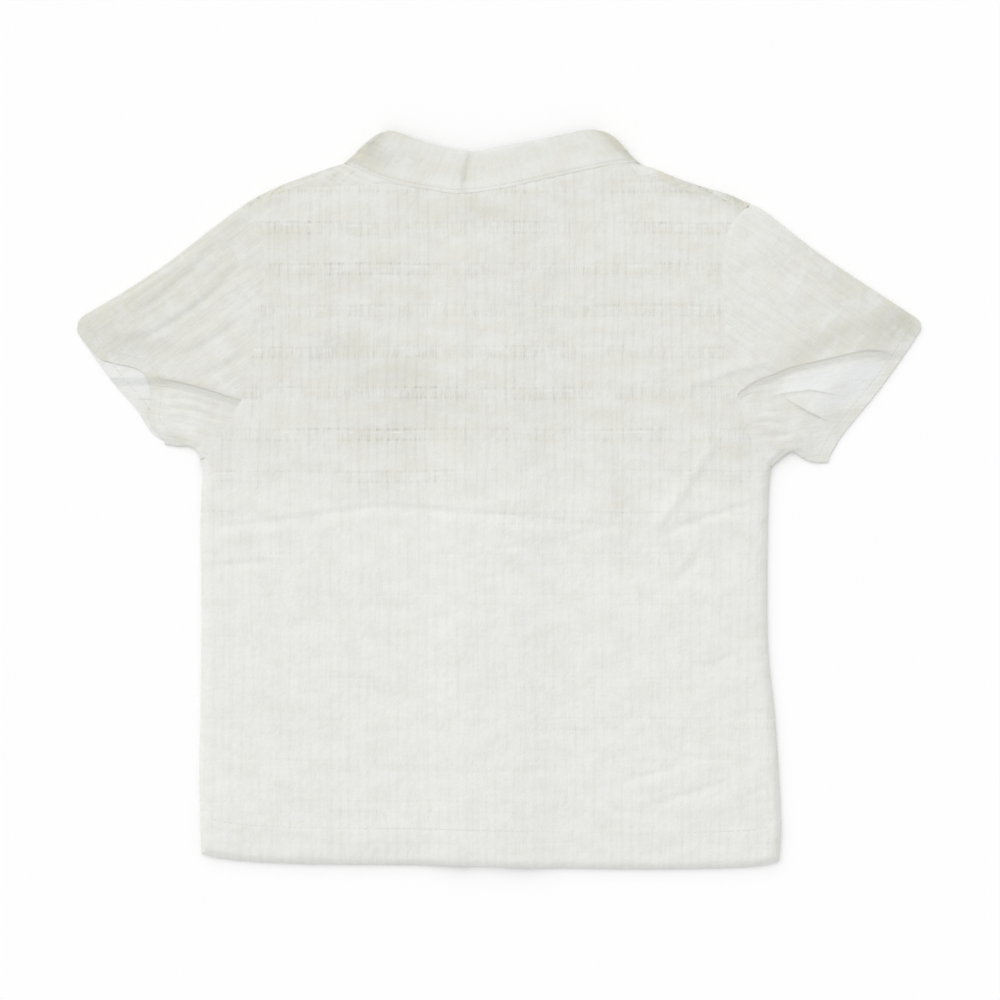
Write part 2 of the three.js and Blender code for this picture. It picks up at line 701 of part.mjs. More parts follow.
function sleeve(isLeft) {
  const sign = isLeft ? 1 : -1;
  const steps = SLEEVE_STEPS;
  const outerTop = spaced(vectors(isLeft ? SLEEVE_TOP_LEFT : SLEEVE_TOP_RIGHT), steps);
  const outerBelow = spaced(vectors(isLeft ? UNDERARM_LEFT : UNDERARM_RIGHT), steps);
  const inwardOf = (points, turn) =>
    points.map((point, i) => {
      const before = points[Math.max(i - 1, 0)];
      const after = points[Math.min(i + 1, steps)];
      return leftOf(before, after).multiplyScalar(turn);
    });
  const inwardTop = inwardOf(outerTop, sign);
  const inwardBelow = inwardOf(outerBelow, -sign);
  const inset = (points, inward) =>
    points.map((point, i) => point.clone().addScaledVector(inward[i], FOLD_RADIUS));
  const top = inset(outerTop, inwardTop);
  const below = inset(outerBelow, inwardBelow);
  const gap = new THREE.Vector2(-sign * (SEAM_GAP + 2 * BEND_GAP), 0);
  const armhole = armholeSeam(isLeft)
    .reverse()
    .map((point) => point.add(gap));
  armhole[0] = top[0];
  armhole[ARMHOLE_STEPS] = below[0];
  const layer = (hemTable) => {
    const hem = spaced([top[steps], ...vectors(hemTable), below[steps]], ARMHOLE_STEPS);
    return filled(armhole, hem, top, below);
  };
  const over = layer(isLeft ? HEM_OVER_LEFT : HEM_OVER_RIGHT);
  const under = layer(isLeft ? HEM_UNDER_LEFT : HEM_UNDER_RIGHT);
  const hemStep = (point, hem) => {
    const reach = Math.min(...hem.map((hemPoint) => hemPoint.distanceTo(point)));
    return HEM_STEP * smooth((SLEEVE_HEM - reach) / SLEEVE_HEM_SLOPE);
  };
  const sheet = new Sheet();
  const rings = over.map((row, j) => {
    const heightTop = upperTop(top[j].x, top[j].y);
    const heightBelow = upperTop(below[j].x, below[j].y);
    const ring = [];
    for (const point of row) {
      const step = hemStep(point, over[steps]);
      const height = upperTop(point.x, point.y) + 2 * step;
      ring.push(sheet.point(point.x, point.y, height, CLOTH + step, DOWN));
    }
    for (const turn of [...FOLD_TURNS].reverse()) {
      const at = foldPoint(outerBelow[j], inwardBelow[j], FOLD_RADIUS, heightBelow, turn);
      ring.push(sheet.point(at.x, at.y, at.z, CLOTH));
    }
    for (const point of [...under[j]].reverse()) {
      ring.push(sheet.point(point.x, point.y, 0, CLOTH + hemStep(point, under[steps]), UP));
    }
    for (const turn of FOLD_TURNS) {
      const at = foldPoint(outerTop[j], inwardTop[j], FOLD_RADIUS, heightTop, turn);
      ring.push(sheet.point(at.x, at.y, at.z, CLOTH));
    }
    return ring;
  });
  sheet.rows(rings, isLeft, true);
  return sheet.solid();
}

// One long band: left end, under the shirt to the left fold, over the back, and back under.
function collarBand() {
  const sheet = new Sheet();
  const stations = [];
  const station = (seam, top, place) => {
    stations.push(
      COLLAR_SHARES.map((share) => {
        const at = place(seam.clone().lerp(top, share), share);
        return sheet.point(at.x, at.y, at.z, BAND_CLOTH, at.side);
      }),
    );
  };
  const underShirt = (lift) => (point) => ({
    x: point.x,
    y: point.y,
    z: lift(point.x) + buttonRise(point.x, point.y),
    side: UP,
  });
  const heightAt = (point, share) =>
    COLLAR_SEAM_Z + upperTop(point.x, point.y) * COLLAR_FOLLOW + COLLAR_LIFT * share;
  const overShirt = (point, share) => ({
    x: point.x,
    y: point.y,
    z: heightAt(point, share),
    side: DOWN,
  });
  const turnOver = (fold, turns) => {
    for (const turn of turns) {
      station(fold.seam, fold.top, (point, share) =>
        foldPoint(point, fold.inwardAt(share), COLLAR_FOLD_RADIUS, heightAt(point, share), turn),
      );
    }
  };
  const topStart = (fold) => {
    return fold.top.clone().addScaledVector(fold.inwardAt(1), COLLAR_FOLD_RADIUS);
  };
  const endColumns = [BAND_HALF_WIDTH, BUMP_FLAT, 0, -BUMP_FLAT, -BAND_HALF_WIDTH];
  const collarEnd = (isLeft) =>
    endColumns.map((column) => {
      const x = CENTRE_X + (isLeft ? column : -column);
      return { seam: new THREE.Vector2(x, NECK_Y), top: new THREE.Vector2(x, NECK_Y + COLLAR_HEIGHT) };
    });
  const halfRun = (isLeft) => {
    const topTable = vectors(isLeft ? NECK_TOP_LEFT : NECK_TOP_RIGHT).slice(1);
    const seams = neckSeam(isLeft).reverse();
    const tops = spaced([topStart(collarFold(isLeft)), ...topTable], NECK_STEPS).reverse();
    const run = seams.slice(1).map((seam, i) => ({ seam, top: tops[i + 1] }));
    return [...collarEnd(isLeft), ...run];
  };
  const leftFold = collarFold(true);
  const rightFold = collarFold(false);
  for (const row of halfRun(true)) station(row.seam, row.top, underShirt(() => 0));
  turnOver(leftFold, FOLD_TURNS);
  const seamBack = spaced(
    [neckSeam(true)[0], ...vectors(COLLAR_SEAM).slice(1, -1), neckSeam(false)[0]],
    COLLAR_BACK_STEPS,
  );
  const topBack = spaced(
    [topStart(leftFold), ...vectors(COLLAR_TOP_EDGE).slice(1, -1), topStart(rightFold)],
    COLLAR_BACK_STEPS,
  );
  seamBack.forEach((seam, i) => station(seam, topBack[i], overShirt));
  turnOver(rightFold, [...FOLD_TURNS].reverse());
  for (const row of halfRun(false).reverse()) station(row.seam, row.top, underShirt(rightLift));
  sheet.rows(stations, true);
  return sheet.solid();
}

// A front band of doubled cloth: flat between the buttons and raised over each of them.
function frontBand(baseZ) {
  const sheet = new Sheet();
  const bottomY = hemY(CENTRE_X);
  const topY = NECK_Y - SEAM_GAP - BEND_GAP;
  const columns = [-BAND_HALF_WIDTH, -BUMP_FLAT, 0, BUMP_FLAT, BAND_HALF_WIDTH];
  const ys = [bottomY, bottomY + BODY_HEM, topY];
  for (let i = 0; i < BUTTON_COUNT; i++) {
    const centre = FIRST_BUTTON_Y - i * BUTTON_PITCH;
    ys.push(centre - BUMP_END_Y, centre - BUMP_FLAT, centre + BUMP_FLAT, centre + BUMP_END_Y);
    if (i > 0) ys.push(centre + BUTTON_PITCH / 2);
  }
  const rows = ys
    .sort((a, b) => a - b)
    .map((y) =>
      columns.map((column) => {
        const x = CENTRE_X + column;
        return sheet.point(x, y, baseZ + buttonRise(x, y), BAND_CLOTH, UP);
      }),
    );
  sheet.rows(rows, true);
  return sheet.solid();
}

function ring(x, y, radius, sides) {
  const points = [];
  for (let i = 0; i < sides; i++) {
    const angle = (2 * Math.PI * i) / sides;
    points.push(new THREE.Vector2(x + radius * Math.cos(angle), y + radius * Math.sin(angle)));
  }
  return points;
}

function button(y) {
  const disc = new THREE.Shape(ring(0, 0, BUTTON_RADIUS - BUTTON_BEVEL, BUTTON_SIDES));
  const holeRadius = BUTTON_HOLE_RADIUS + BUTTON_BEVEL;
  for (const centre of ring(0, 0, BUTTON_HOLE_SPREAD, 4)) {
    disc.holes.push(new THREE.Path(ring(centre.x, centre.y, holeRadius, BUTTON_HOLE_SIDES)));
  }
  const geometry = new THREE.ExtrudeGeometry(disc, {
    depth: BUTTON_HEIGHT - 2 * BUTTON_BEVEL,
    bevelEnabled: true,
    bevelThickness: BUTTON_BEVEL,
    bevelSize: BUTTON_BEVEL,
    bevelSegments: 1,
  });
  return geometry.translate(CENTRE_X, y, BUTTON_BEVEL);
}

const group = new THREE.Group();

function add(name, geometry, colour, roughness) {
  const material = new THREE.MeshStandardMaterial({ color: colour, roughness, metalness: 0 });
  const mesh = new THREE.Mesh(geometry, material);
  mesh.name = name;
  group.add(mesh);
}

add("back", backPanel(), CLOTH_COLOUR, CLOTH_ROUGHNESS);
add("front_left", frontPanel(true), CLOTH_COLOUR, CLOTH_ROUGHNESS);
add("front_right", frontPanel(false), CLOTH_COLOUR, CLOTH_ROUGHNESS);
add("sleeve_left", sleeve(true), CLOTH_COLOUR, CLOTH_ROUGHNESS);
add("sleeve_right", sleeve(false), CLOTH_COLOUR, CLOTH_ROUGHNESS);
add("collar_band", collarBand(), BAND_COLOUR, BAND_ROUGHNESS);
add("buttonhole_band", frontBand(0), BAND_COLOUR, BAND_ROUGHNESS);
add("button_band", frontBand(UPPER_BAND_Z), BAND_COLOUR, BAND_ROUGHNESS);
add("collar_button", button(COLLAR_BUTTON_Y), BUTTON_COLOUR, BUTTON_ROUGHNESS);
for (let i = 0; i < BUTTON_COUNT; i++) {
  add(`button_${i + 1}`, button(FIRST_BUTTON_Y - i * BUTTON_PITCH), BUTTON_COLOUR, BUTTON_ROUGHNESS);
}

export default group;
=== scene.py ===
# A toddler's short-sleeved shirt of crinkled cotton, buttoned up and laid flat, face down.
# Tables and outlines are in millimetres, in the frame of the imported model: +X is the right of
# the view, +Y points from the hem to the collar, +Z is up. Meshes are in metres.

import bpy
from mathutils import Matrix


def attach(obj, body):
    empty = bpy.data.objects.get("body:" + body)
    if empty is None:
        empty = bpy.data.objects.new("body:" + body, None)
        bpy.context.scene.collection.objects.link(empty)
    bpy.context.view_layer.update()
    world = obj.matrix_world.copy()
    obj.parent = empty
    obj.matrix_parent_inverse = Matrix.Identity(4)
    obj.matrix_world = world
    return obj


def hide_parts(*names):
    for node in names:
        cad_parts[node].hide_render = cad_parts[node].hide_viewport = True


bl_info = {
    "name": "Crinkled Cotton Toddler Shirt",
    "version": (1, 0, 0),
    "blender": (4, 5, 0),
    "location": "View3D > Sidebar > Shirt",
    "description": "Dresses the laid-out shirt in crinkled cotton, sews it and lights it",
    "category": "Add Mesh",
}

import math
from collections import namedtuple

import bmesh
import bpy
import numpy as np
from bpy.props import FloatProperty, FloatVectorProperty, PointerProperty
from mathutils import Matrix, Vector

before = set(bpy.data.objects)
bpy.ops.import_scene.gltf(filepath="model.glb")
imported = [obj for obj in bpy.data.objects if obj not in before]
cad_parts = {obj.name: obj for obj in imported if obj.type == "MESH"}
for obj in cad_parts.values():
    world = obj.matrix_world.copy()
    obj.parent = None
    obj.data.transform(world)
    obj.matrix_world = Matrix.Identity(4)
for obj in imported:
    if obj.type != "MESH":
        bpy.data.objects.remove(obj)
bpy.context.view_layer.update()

MM = 0.001

# How the layers lie on each other, as in the solids
SEAM_GAP = 0.35
STITCH_INSET = 1.2
BODY_HEM = 20.0
SLEEVE_HEM = 6.5
HEM_THICKER = 0.25
FOLD_RADIUS = 1.9
EDGE_TOP = 2.45
EDGE_DROP = 1.65
ROLL_WIDTH = 4.0
ROLL_RISE = 1.1
CROWN_REACH = 20.0
CROWN_RISE = 1.8
# Creases and waves fade out this near to the outline
CREASE_MARGIN = 8.0
# Powers with which the bend of a piece's sides fades out towards its middle
BEND_FADE = 3
FRONT_BEND_FADE = 6
# Steps round a fold, as shares of its half turn
FOLD_TURNS = np.linspace(0.1, 0.9, 9)

# Button front
CENTRE_X = -6.0
BAND_HALF_WIDTH = 9.0
BAND_WALL = 1.0
UPPER_BAND_Z = 1.6
# The right front comes down to the table from this far beside the band to this far from the centre
LIFT_START = 0.6
LIFT_END = 26.0
FIRST_BUTTON_Y = 106.0
BUTTON_PITCH = 50.0
BUTTON_COUNT = 5
COLLAR_BUTTON_Y = 130.4
BUTTON_HEIGHT = 2.0
BUTTON_HOLE_SPREAD = 1.6
BUTTONHOLE_LENGTH = 12.5
BUTTONHOLE_HALF_WIDTH = 0.8
BUMP_FLAT = 5.8
BUMP_END_X = 8.9
BUMP_END_Y = 12.0
# How high the bands carry the upper layer, and where that starts on their left, on their right
# and below the neck, each with the length that it takes
BAND_RISE = 1.84
RISE_LEFT = (36, 25)
RISE_RIGHT = (40, 28)
RISE_NECK = (162, 18)

# Collar. Dips are a depth and a width, as a share of the collar's height.
COLLAR_FOLD_RADIUS = 2.2
COLLAR_EDGE_Z = 4.7
FOLD_BEND_REACH = 11.0
COLLAR_STEP = 0.35
COLLAR_HEIGHT = 20.0
COLLAR_STITCH_SHARE = 0.0875
COLLAR_STITCH_DIP = (0.2, 0.022)
# Painted shade along the collar's row of stitching
COLLAR_STITCH_SHADE = 0.22
COLLAR_SEAM_DIP = (0.3, 0.03)
COLLAR_EDGE_DIP = (0.4, 0.05)
NECK_Y = 120.4
# Rows of the collar as shares of its height, closer along its seam, stitching and top edge
CLOSE_ROWS = [0, 0.02, 0.044, 0.066, COLLAR_STITCH_SHARE, 0.109, 0.131, 0.165, 0.21]
COLLAR_ROWS = np.concatenate((CLOSE_ROWS, np.linspace(0.27, 0.9, 11), [0.94, 0.975, 1]))

# Sleeves: how low the upper layer lies at the hem, how much of its own rise is left there, and
# how far in it has risen again
HEM_SUNK_TOP = 0.66
HEM_RISE_KEPT = 0.06
HEM_SINK_REACH = 22.0
SLEEVE_HEM_DIP = (0.14, 0.6)
# How far a sleeve laps over the body at the armhole
ARMHOLE_LAP = 0.35
# How far from the underarm's fold the armhole begins, where that fold starts beside the end of
# the body's side, and the length over which it turns into its own direction
UNDERARM_CLEAR = 3.0
UNDERARM_CORNER = (1.75, 0.3)
UNDERARM_TURN = 4.0
# Where the fold along a sleeve's top begins to narrow towards the tip, and its radius there
TIP_START = 0.86
TIP_RADIUS = 0.7
# Direction of the stripes below a sleeve's crease, in degrees
BELOW_TURN_LEFT = 168
BELOW_TURN_RIGHT = 8

# Gaps between the raw edges of pieces
BAND_CLEAR = 0.1
NECK_CLEAR = 0.15
SEAM_CLEAR = 0.25

# Lengths from which rows and columns are counted, and fixed numbers of steps
SIDE_LENGTH = 200
ARMHOLE_LENGTH = 137
BODY_WIDTH = 286
SLEEVE_LENGTH = 95
SLEEVE_ROUND = 150
FRONT_STEPS = 52
STRIP_POINTS = 13
SHADE_ROWS = 5

# Creases and painted shade lines: the length over which their ends fade out, and place and width
# of the lip in widths of its trough
CREASE_END = 9
LINE_END = 12
LIP_PLACE = 2.1
LIP_WIDTH = 1.3
PATH_SAMPLES = 24
FAR_OFF = 99.0

# Depth and width of the dip at a seam, height of the cloth beside it, and how far off that is.
# The seam on the right shoulder can hardly be seen.
ARMHOLE_DIP = (0.06, 0.9, 0.08, 3.0)
SHOULDER_DIP = (0.1, 0.7, 0.12, 2.4)
FLAT_DIP = (0.02, 0.7, 0.02, 2.4)
COLLAR_DIP = (0.14, 0.9, 0.05, 2.6)
HEM_DIP = (0.16, 0.6, 0.06, 2.2)
PUFF_WIDTH = 1.6
# Pitch, height and reach of the puckers beside a seam
ARMHOLE_PUCKERS = (6.5, 0.1, 4.0)
COLLAR_PUCKERS = (6.0, 0.12, 5.0)
HEM_PUCKERS = (5.2, 0.1, 4.0)

# How much painted shade darkens the cloth, where the layers below show through and where it is
# folded or lifted: in the upper body and from which height on, in the sleeves, more beside the fold
# along their top and how far in, and in their lower layer, where a value below zero paints light
UPPER_SHADE = 0.19
UPPER_SHADE_Y = -15
UPPER_SHADE_REACH = 60
LEFT_SLEEVE_SHADE = 0.2
RIGHT_SHOULDER_SHADE = 0.08
RIGHT_SLEEVE_SHADE = 0.14
RIM_SHADE = 0.28
RIM_REACH_LEFT = 26
RIM_REACH_RIGHT = 16
UNDER_SHADE = -0.12
COLLAR_SHADE = 0.15

# Stitches and threads. STITCH_OFF is how far off the cloth's face the middle of a stitch lies.
STITCH_WIDTH = 0.38
STITCH_HEIGHT = 0.16
STITCH_SPACE = 0.5
STITCH_OFF = 0.02
THREAD_RADIUS = 0.2
THREAD_ASIDE = 0.22
THREAD_BAR_Z = -0.04
THREAD_END_Z = -0.1

# The weave, in millimetres on the flat cloth: stripes along it, and pairs of rows across it
STRIPE_REPEAT = 14.6
STRIPE_PLACES = (1.0, 6.5, 11.0)
STRONG_REPEAT = 24.2
STRONG_PLACE = 13.5
BAND_REPEAT = 4.87
ROW_REPEAT = 20.6
ROW_PLACE = 98.5
ROW_PAIR = 5.2
ROW_LIGHT = 1.5
# The weave as it shows on each kind of piece: rows, stripes, and streaks of thick yarn
BODY_WEAVE = ("Crinkled cotton", 1.0, 1.0, 0.13)
SLEEVE_WEAVE = ("Crinkled cotton, sleeves", 0.15, 0.5, 0.26)
BAND_WEAVE = ("Crinkled cotton, bands", 0.25, 0.4, 0.08)

# The stage, in metres, and the camera's sensor in millimetres
FLOOR_REACH = 3
FLOOR_Z = -0.0004
KEY_PLACE = (-0.6, 0.72, 1.25)
VIEW_Y = -0.0005
VIEW_Z = 0.002
NEAR_CLIP = 0.01
SENSOR_WIDTH = 36

# Seams and edges of the laid-out shirt, seen from above
HEM_EDGE = [(-149.5, -177.5), (-134, -180.5), (-98, -182.6), (-36, -183.2), (28, -184.7),
            (82, -185.2), (124, -184), (139.5, -181.3)]
SIDE_LEFT = [(-149.5, -177.5), (-150.4, -140.5), (-149.8, -100.5), (-149.4, -50.5),
             (-149.9, -10.5), (-148.6, 13), (-149.8, 19.4)]
SIDE_RIGHT = [(139.5, -181.3), (140.4, -158), (137.6, -110), (134.4, -80), (133.6, -50.5),
              (134, -10.5), (134.9, 10), (135.8, 16.2)]
ARMHOLE_LEFT = [(-149.8, 19.4), (-145.2, 22.6), (-137.5, 34.5), (-128, 53.5), (-122.5, 78),
                (-119, 99.5), (-117.8, 121), (-122.6, 134.5), (-127.4, 144.4)]
ARMHOLE_RIGHT = [(135.8, 16.2), (131, 19.8), (126, 28), (118.5, 52), (113.4, 70), (112, 95.5),
                 (111.2, 116.5), (113.2, 131), (117.6, 139.5), (122.8, 145.2)]
SHOULDER_FOLD_LEFT = [(-128.5, 147), (-120, 152), (-108, 157.5), (-96, 162), (-84, 166.2),
                      (-78.4, 167.7)]
SHOULDER_FOLD_RIGHT = [(124.5, 147.8), (114, 152.5), (102, 156), (90, 160), (78, 165),
                       (70.5, 167.6)]
SHOULDER_SEAM_LEFT = [(-127.4, 144.4), (-119, 149), (-108.5, 153.8), (-97, 155.2),
                      (-80, 155.8), (-62, 156.8), (-49, 156.5)]
SHOULDER_SEAM_RIGHT = [(122.8, 145.2), (112, 148.4), (100, 151.6), (86, 156.2), (71, 161.2),
                       (53, 166.2)]
COLLAR_SEAM = [(-78, 168), (-69.5, 164), (-61.7, 160.3), (-49, 156.5), (-36.3, 154.3),
               (-20, 152.3), (2, 155), (27.5, 160.7), (53, 166.2), (64, 167.6), (70, 168)]
COLLAR_TOP_EDGE = [(-59.5, 183.1), (-55, 183.8), (-49, 182.2), (-40, 178.9), (-30, 176.1),
                   (-14, 173.3), (0, 176), (24, 180.3), (38, 183.3), (46, 184.3), (52, 183.6)]
COLLAR_FOLD_LEFT = [(-78, 168), (-72.8, 172.4), (-69.7, 175.7), (-66, 178.9), (-62.3, 181.6),
                    (-59.5, 183.1)]
COLLAR_FOLD_RIGHT = [(70, 168), (65.8, 171.4), (62, 175.9), (58.8, 179.2), (55.4, 182),
                     (52, 183.6)]
NECK_SEAM_LEFT = [(-78, 168), (-73, 150), (-61, 134), (-43, 124), (-28, 120.9), (-15.4, 120.4)]
NECK_TOP_LEFT = [(-59.5, 183.1), (-54, 165), (-46, 152), (-36, 145), (-26, 141.4),
                 (-15.4, 140.4)]
NECK_SEAM_RIGHT = [(70, 168), (64, 150), (50, 134), (32, 124), (16, 120.9), (3.4, 120.4)]
NECK_TOP_RIGHT = [(52, 183.6), (45, 165), (35, 152), (24, 145), (14, 141.4), (3.4, 140.4)]
SLEEVE_TOP_LEFT = [(-128.8, 146.8), (-144, 135.5), (-168, 117), (-192, 101.5), (-204, 94.5),
                   (-209.2, 91.2), (-211.7, 88)]
SLEEVE_TOP_RIGHT = [(124.8, 147.7), (132, 144.2), (156, 125.5), (180, 109), (204, 93.5),
                    (208.6, 90.5), (210.8, 88)]
UNDERARM_LEFT = [(-150.1, 20), (-151.8, 24), (-155.5, 26.3), (-161, 26.4), (-168, 27.2)]
UNDERARM_RIGHT = [(136.2, 16.5), (140.5, 20), (146, 23.6), (151, 20.8), (155.5, 18.7),
                  (160, 18.1), (164.5, 18.3)]
HEM_UNDER_LEFT = [(-211.8, 85.5), (-210.6, 81.8), (-202, 69.5), (-193, 57.5), (-182.5, 45.5),
                  (-174.5, 33.5)]
HEM_OVER_LEFT = [(-211.6, 85.5), (-210.2, 81.8), (-201, 71), (-194, 68.3), (-179.5, 64), (-175, 54),
                 (-175.8, 40.5), (-172, 33.5)]
HEM_UNDER_RIGHT = [(210.8, 85.8), (208.9, 81.8), (192, 57.5), (172.5, 33.5), (167.8, 26)]
HEM_OVER_RIGHT = [(210.6, 85.8), (208.7, 81.8), (191.8, 57.5), (172.4, 33.6), (167.4, 26.2)]

# Creases of the upper layer. A rise below zero is a trough. before and after are the widths
# on the left and the right of the path as it runs, and lip is the height of the soft ridge
# that the cloth pushes up on the right of a trough.
Crease = namedtuple("Crease", "path rise before after lip")
SLEEVE_RIDGE = Crease(
    [(108, 44), (118.5, 52), (127.5, 58.5), (138, 62.5), (145, 65.5), (155, 67.8), (171, 71.5),
     (183.5, 74), (194, 73.5)], 0.12, 4, 1.1, 0)
SHOULDER_RIDGE = Crease([(88, 54.5), (115.5, 64), (138, 69)], 0.7, 3.6, 2.2, 0)
BODY_CREASES = [
    Crease([(-148, -15), (-102.5, -9.5), (-67, -4.5), (-42.5, -4.5), (-5, -7.5), (26, -10.5),
            (65.5, -15)], -0.5, 1.4, 2.8, 0.16),
    Crease([(-148, -33.5), (-130, -32), (-108.5, -30.5)], -0.42, 1.4, 2.6, 0.12),
    Crease([(-102.5, -35.5), (-94, -28.5)], -0.35, 1.3, 2, 0.1),
    Crease([(-7, -25), (5, -24), (15.5, -24)], -0.35, 1.2, 1.9, 0.1),
    Crease([(-15.5, -39.5), (-5, -39), (5.5, -37.5)], -0.35, 1.2, 1.9, 0.1),
    Crease([(107, 31), (104.5, 24.5), (90, 2), (75.5, -19)], 0.9, 1.9, 3.6, 0),
    Crease([(78, -20), (98.5, -10.5), (125.5, -2.5)], -0.6, 1.4, 2.6, 0.14),
    Crease([(102.5, -17), (96.5, -31.5), (82, -46)], -0.5, 2.6, 1.5, 0.1),
    Crease([(57, 12), (60, -3), (63, -16)], -0.45, 2.8, 1.8, 0),
    Crease([(53, -15), (41.5, -17), (30, -19)], -0.35, 2, 1.3, 0.1),
    Crease([(121, -75), (110, -80.5), (98.5, -85)], -0.34, 2, 1.3, 0.1),
    Crease([(67.5, -110), (78, -120.5), (92.5, -128.5), (117, -128.5)], -0.42, 1.3, 2.2, 0.12),
    Crease([(59, -141), (82, -135), (94.5, -128.5)], -0.4, 1.3, 2.2, 0.12),
    Crease([(42.5, -135), (49, -147.5), (59, -155.5), (69.5, -155.5)], -0.4, 1.4, 1.9, 0.1),
    Crease([(73.5, -153.5), (98.5, -145.5), (119, -139)], -0.44, 1.3, 2.2, 0.12),
    Crease([(99.5, -151.5), (110, -146.5), (120, -140.5)], -0.36, 1.2, 1.8, 0.1),
    Crease([(119, -148.5), (130, -145), (139.5, -142)], -0.36, 1.2, 1.8, 0.1),
    Crease([(-61, -134), (-10, -135), (40.5, -134)], -0.22, 1.5, 2.6, 0.08),
    Crease([(-59, -68.5), (-51, -75.5), (-42.5, -81)], -0.32, 1.4, 2, 0.08),
    SHOULDER_RIDGE,
    SLEEVE_RIDGE,
]
LEFT_SLEEVE_CREASES = [
    Crease([(-172, 60.4), (-161.8, 58.5), (-147.8, 55), (-133.7, 50.5), (-124, 48)],
           0.24, 4, 1.1, 0),
    Crease([(-172, 50), (-157, 50), (-143, 46), (-134, 40)], -0.35, 1.6, 1.2, 0.25),
    Crease([(-170, 45), (-155, 44.5), (-142, 40), (-136, 36)], -0.3, 1.4, 1.2, 0.2),
    Crease([(-172, 39), (-158, 37.5), (-147, 33)], -0.3, 1.5, 1.5, 0.2),
    Crease([(-140, 128), (-160, 108), (-182, 92)], -0.35, 2.5, 2, 0.3),
    Crease([(-128, 118), (-146, 100), (-170, 84), (-192, 76)], -0.4, 2.5, 2, 0.35),
    Crease([(-126, 92), (-142, 80), (-160, 70)], -0.35, 2.5, 2, 0.3),
    Crease([(-124, 74), (-138, 65), (-150, 60)], -0.3, 2, 2, 0.25),
]
RIGHT_SLEEVE_CREASES = [
    SLEEVE_RIDGE,
    Crease([(143.5, 70), (159, 76.5), (173, 83), (185.5, 85.5), (204.5, 90.5)],
           -0.6, 4.5, 5, 0.1),
    Crease([(134, 50), (141.5, 52.5), (150, 53.5), (155.5, 54), (168, 52)], 0.45, 2.6, 0.9, 0),
    Crease([(142.2, 50), (152, 44.2), (161, 40), (164, 39)], 0.65, 2.8, 0.9, 0),
    Crease([(124, 44), (136, 43.5), (146, 42)], -0.3, 1.4, 1.4, 0.2),
    Crease([(125, 38), (136, 38), (146, 36.5)], -0.35, 1.4, 1.4, 0.2),
    Crease([(128, 32), (138, 31), (150, 33)], -0.3, 1.4, 1.4, 0.2),
    Crease([(120, 120), (138, 112), (160, 102)], -0.25, 3, 3, 0.2),
]
# Places and lines of painted shade, where the layers below show through and where folds and
# lifted cloth are shaded; an amount below zero paints light instead. A line is written as a
# crease is, and its rise is how much shows.
SoftSpot = namedtuple("SoftSpot", "x y reach_x reach_y amount")
COLLAR_SPOTS = [
    SoftSpot(-68, 173, 10, 10, 0.6),
    SoftSpot(-50, 170, 14, 12, 0.2),
    SoftSpot(60, 177, 8, 7, 0.35),
    SoftSpot(-18, 158, 4, 8, 0.2),
]
COLLAR_LINES = [
    Crease([(-82, 163), (-77, 169), (-59, 184.5), (-52, 189)], 0.7, 3.5, 3.5, 0),
    Crease([(-64, 187), (-54, 184.5), (-42, 181), (-26, 176)], 0.35, 2, 2, 0),
    Crease([(74, 163), (69, 168.5), (52, 184.5), (46, 190)], 0.75, 3.5, 3.5, 0),
    Crease([(60, 186), (50, 184.5), (36, 183), (20, 180)], 0.3, 2, 2, 0),
    Crease([(-13.5, 180), (-15.5, 170), (-18, 156), (-19, 148)], 0.3, 1.6, 1.6, 0),
]
COLLAR_CREASES = [
    Crease([(-14.5, 175), (-16.5, 164.5), (-18, 152)], -0.55, 1.1, 1.3, 0.15),
]

# Painted shade lines in the sharpest creases of the sleeves, and how dark each one is
Line = namedtuple("Line", "path depth")
LEFT_SLEEVE_SHADE_LINES = [
    Line([(-175, 61), (-161.8, 58.5), (-147.8, 55), (-133.7, 50.5), (-128, 48.8)], 0.42),
    Line([(-186, 50), (-176, 50), (-168, 50)], 0.3),
]
RIGHT_SLEEVE_SHADE_LINES = [
    Line([(112, 46), (118.5, 52), (127.5, 58.5), (138, 62.5), (145, 65.5), (155, 67.8),
          (171, 71.5), (183.5, 74), (198, 73)], 0.4),
    Line([(132, 49.5), (141.5, 52.5), (150, 53.5), (155.5, 54), (172, 51)], 0.3),
    Line([(138, 52.5), (142.2, 50), (152, 44.2), (161, 40), (168, 37.5)], 0.45),
]

# Shallow waves left in the cloth by wear: length of a wave, direction of travel in degrees,
# start of the wave in radians, and height
Wave = namedtuple("Wave", "length direction start height")
WAVES = [
    Wave(61, 78, 20, 0.16),
    Wave(43, 101, 200, 0.12),
    Wave(29, 64, 75, 0.09),
    Wave(23, 118, 310, 0.07),
    Wave(17, 12, 150, 0.05),
    Wave(13, 85, 260, 0.04),
]
# How far the crests of the waves sway, in radians, and over what length, along X and along Y
SWAY_X = (0.9, 37)
SWAY_Y = (0.8, 29)

# Painted shade on the body, where the layers below show through and the cloth lies lifted
BODY_SPOTS = [
    SoftSpot(-16, 146, 26, 9, 0.26),
    SoftSpot(-52, 62, 26, 9, 0.26),
    SoftSpot(-79, 76, 14, 9, 0.18),
    SoftSpot(-40, 75, 10, 6, 0.12),
    SoftSpot(-39, 114, 12, 10, 0.16),
    SoftSpot(-40, 42, 32, 12, 0.18),
    SoftSpot(-56, 20, 22, 18, 0.12),
    SoftSpot(60, -4, 10, 14, 0.2),
    SoftSpot(-125, 95, 12, 45, 0.1),
    SoftSpot(-85, 108, 26, 12, 0.1),
    SoftSpot(-112, 134, 12, 12, 0.16),
    SoftSpot(120, 30, 9, 22, 0.14),
    SoftSpot(-138, -6, 16, 6, 0.14),
]
# Painted shade along the folds at the shoulders
BODY_LINES = [
    Crease([(-134, 144), (-124, 150), (-108, 157), (-92, 163), (-76, 168)], 0.42, 5, 5, 0),
    Crease([(132, 143), (122, 148.5), (108, 153.5), (92, 159), (76, 166)], 0.55, 5.5, 5.5, 0),
]
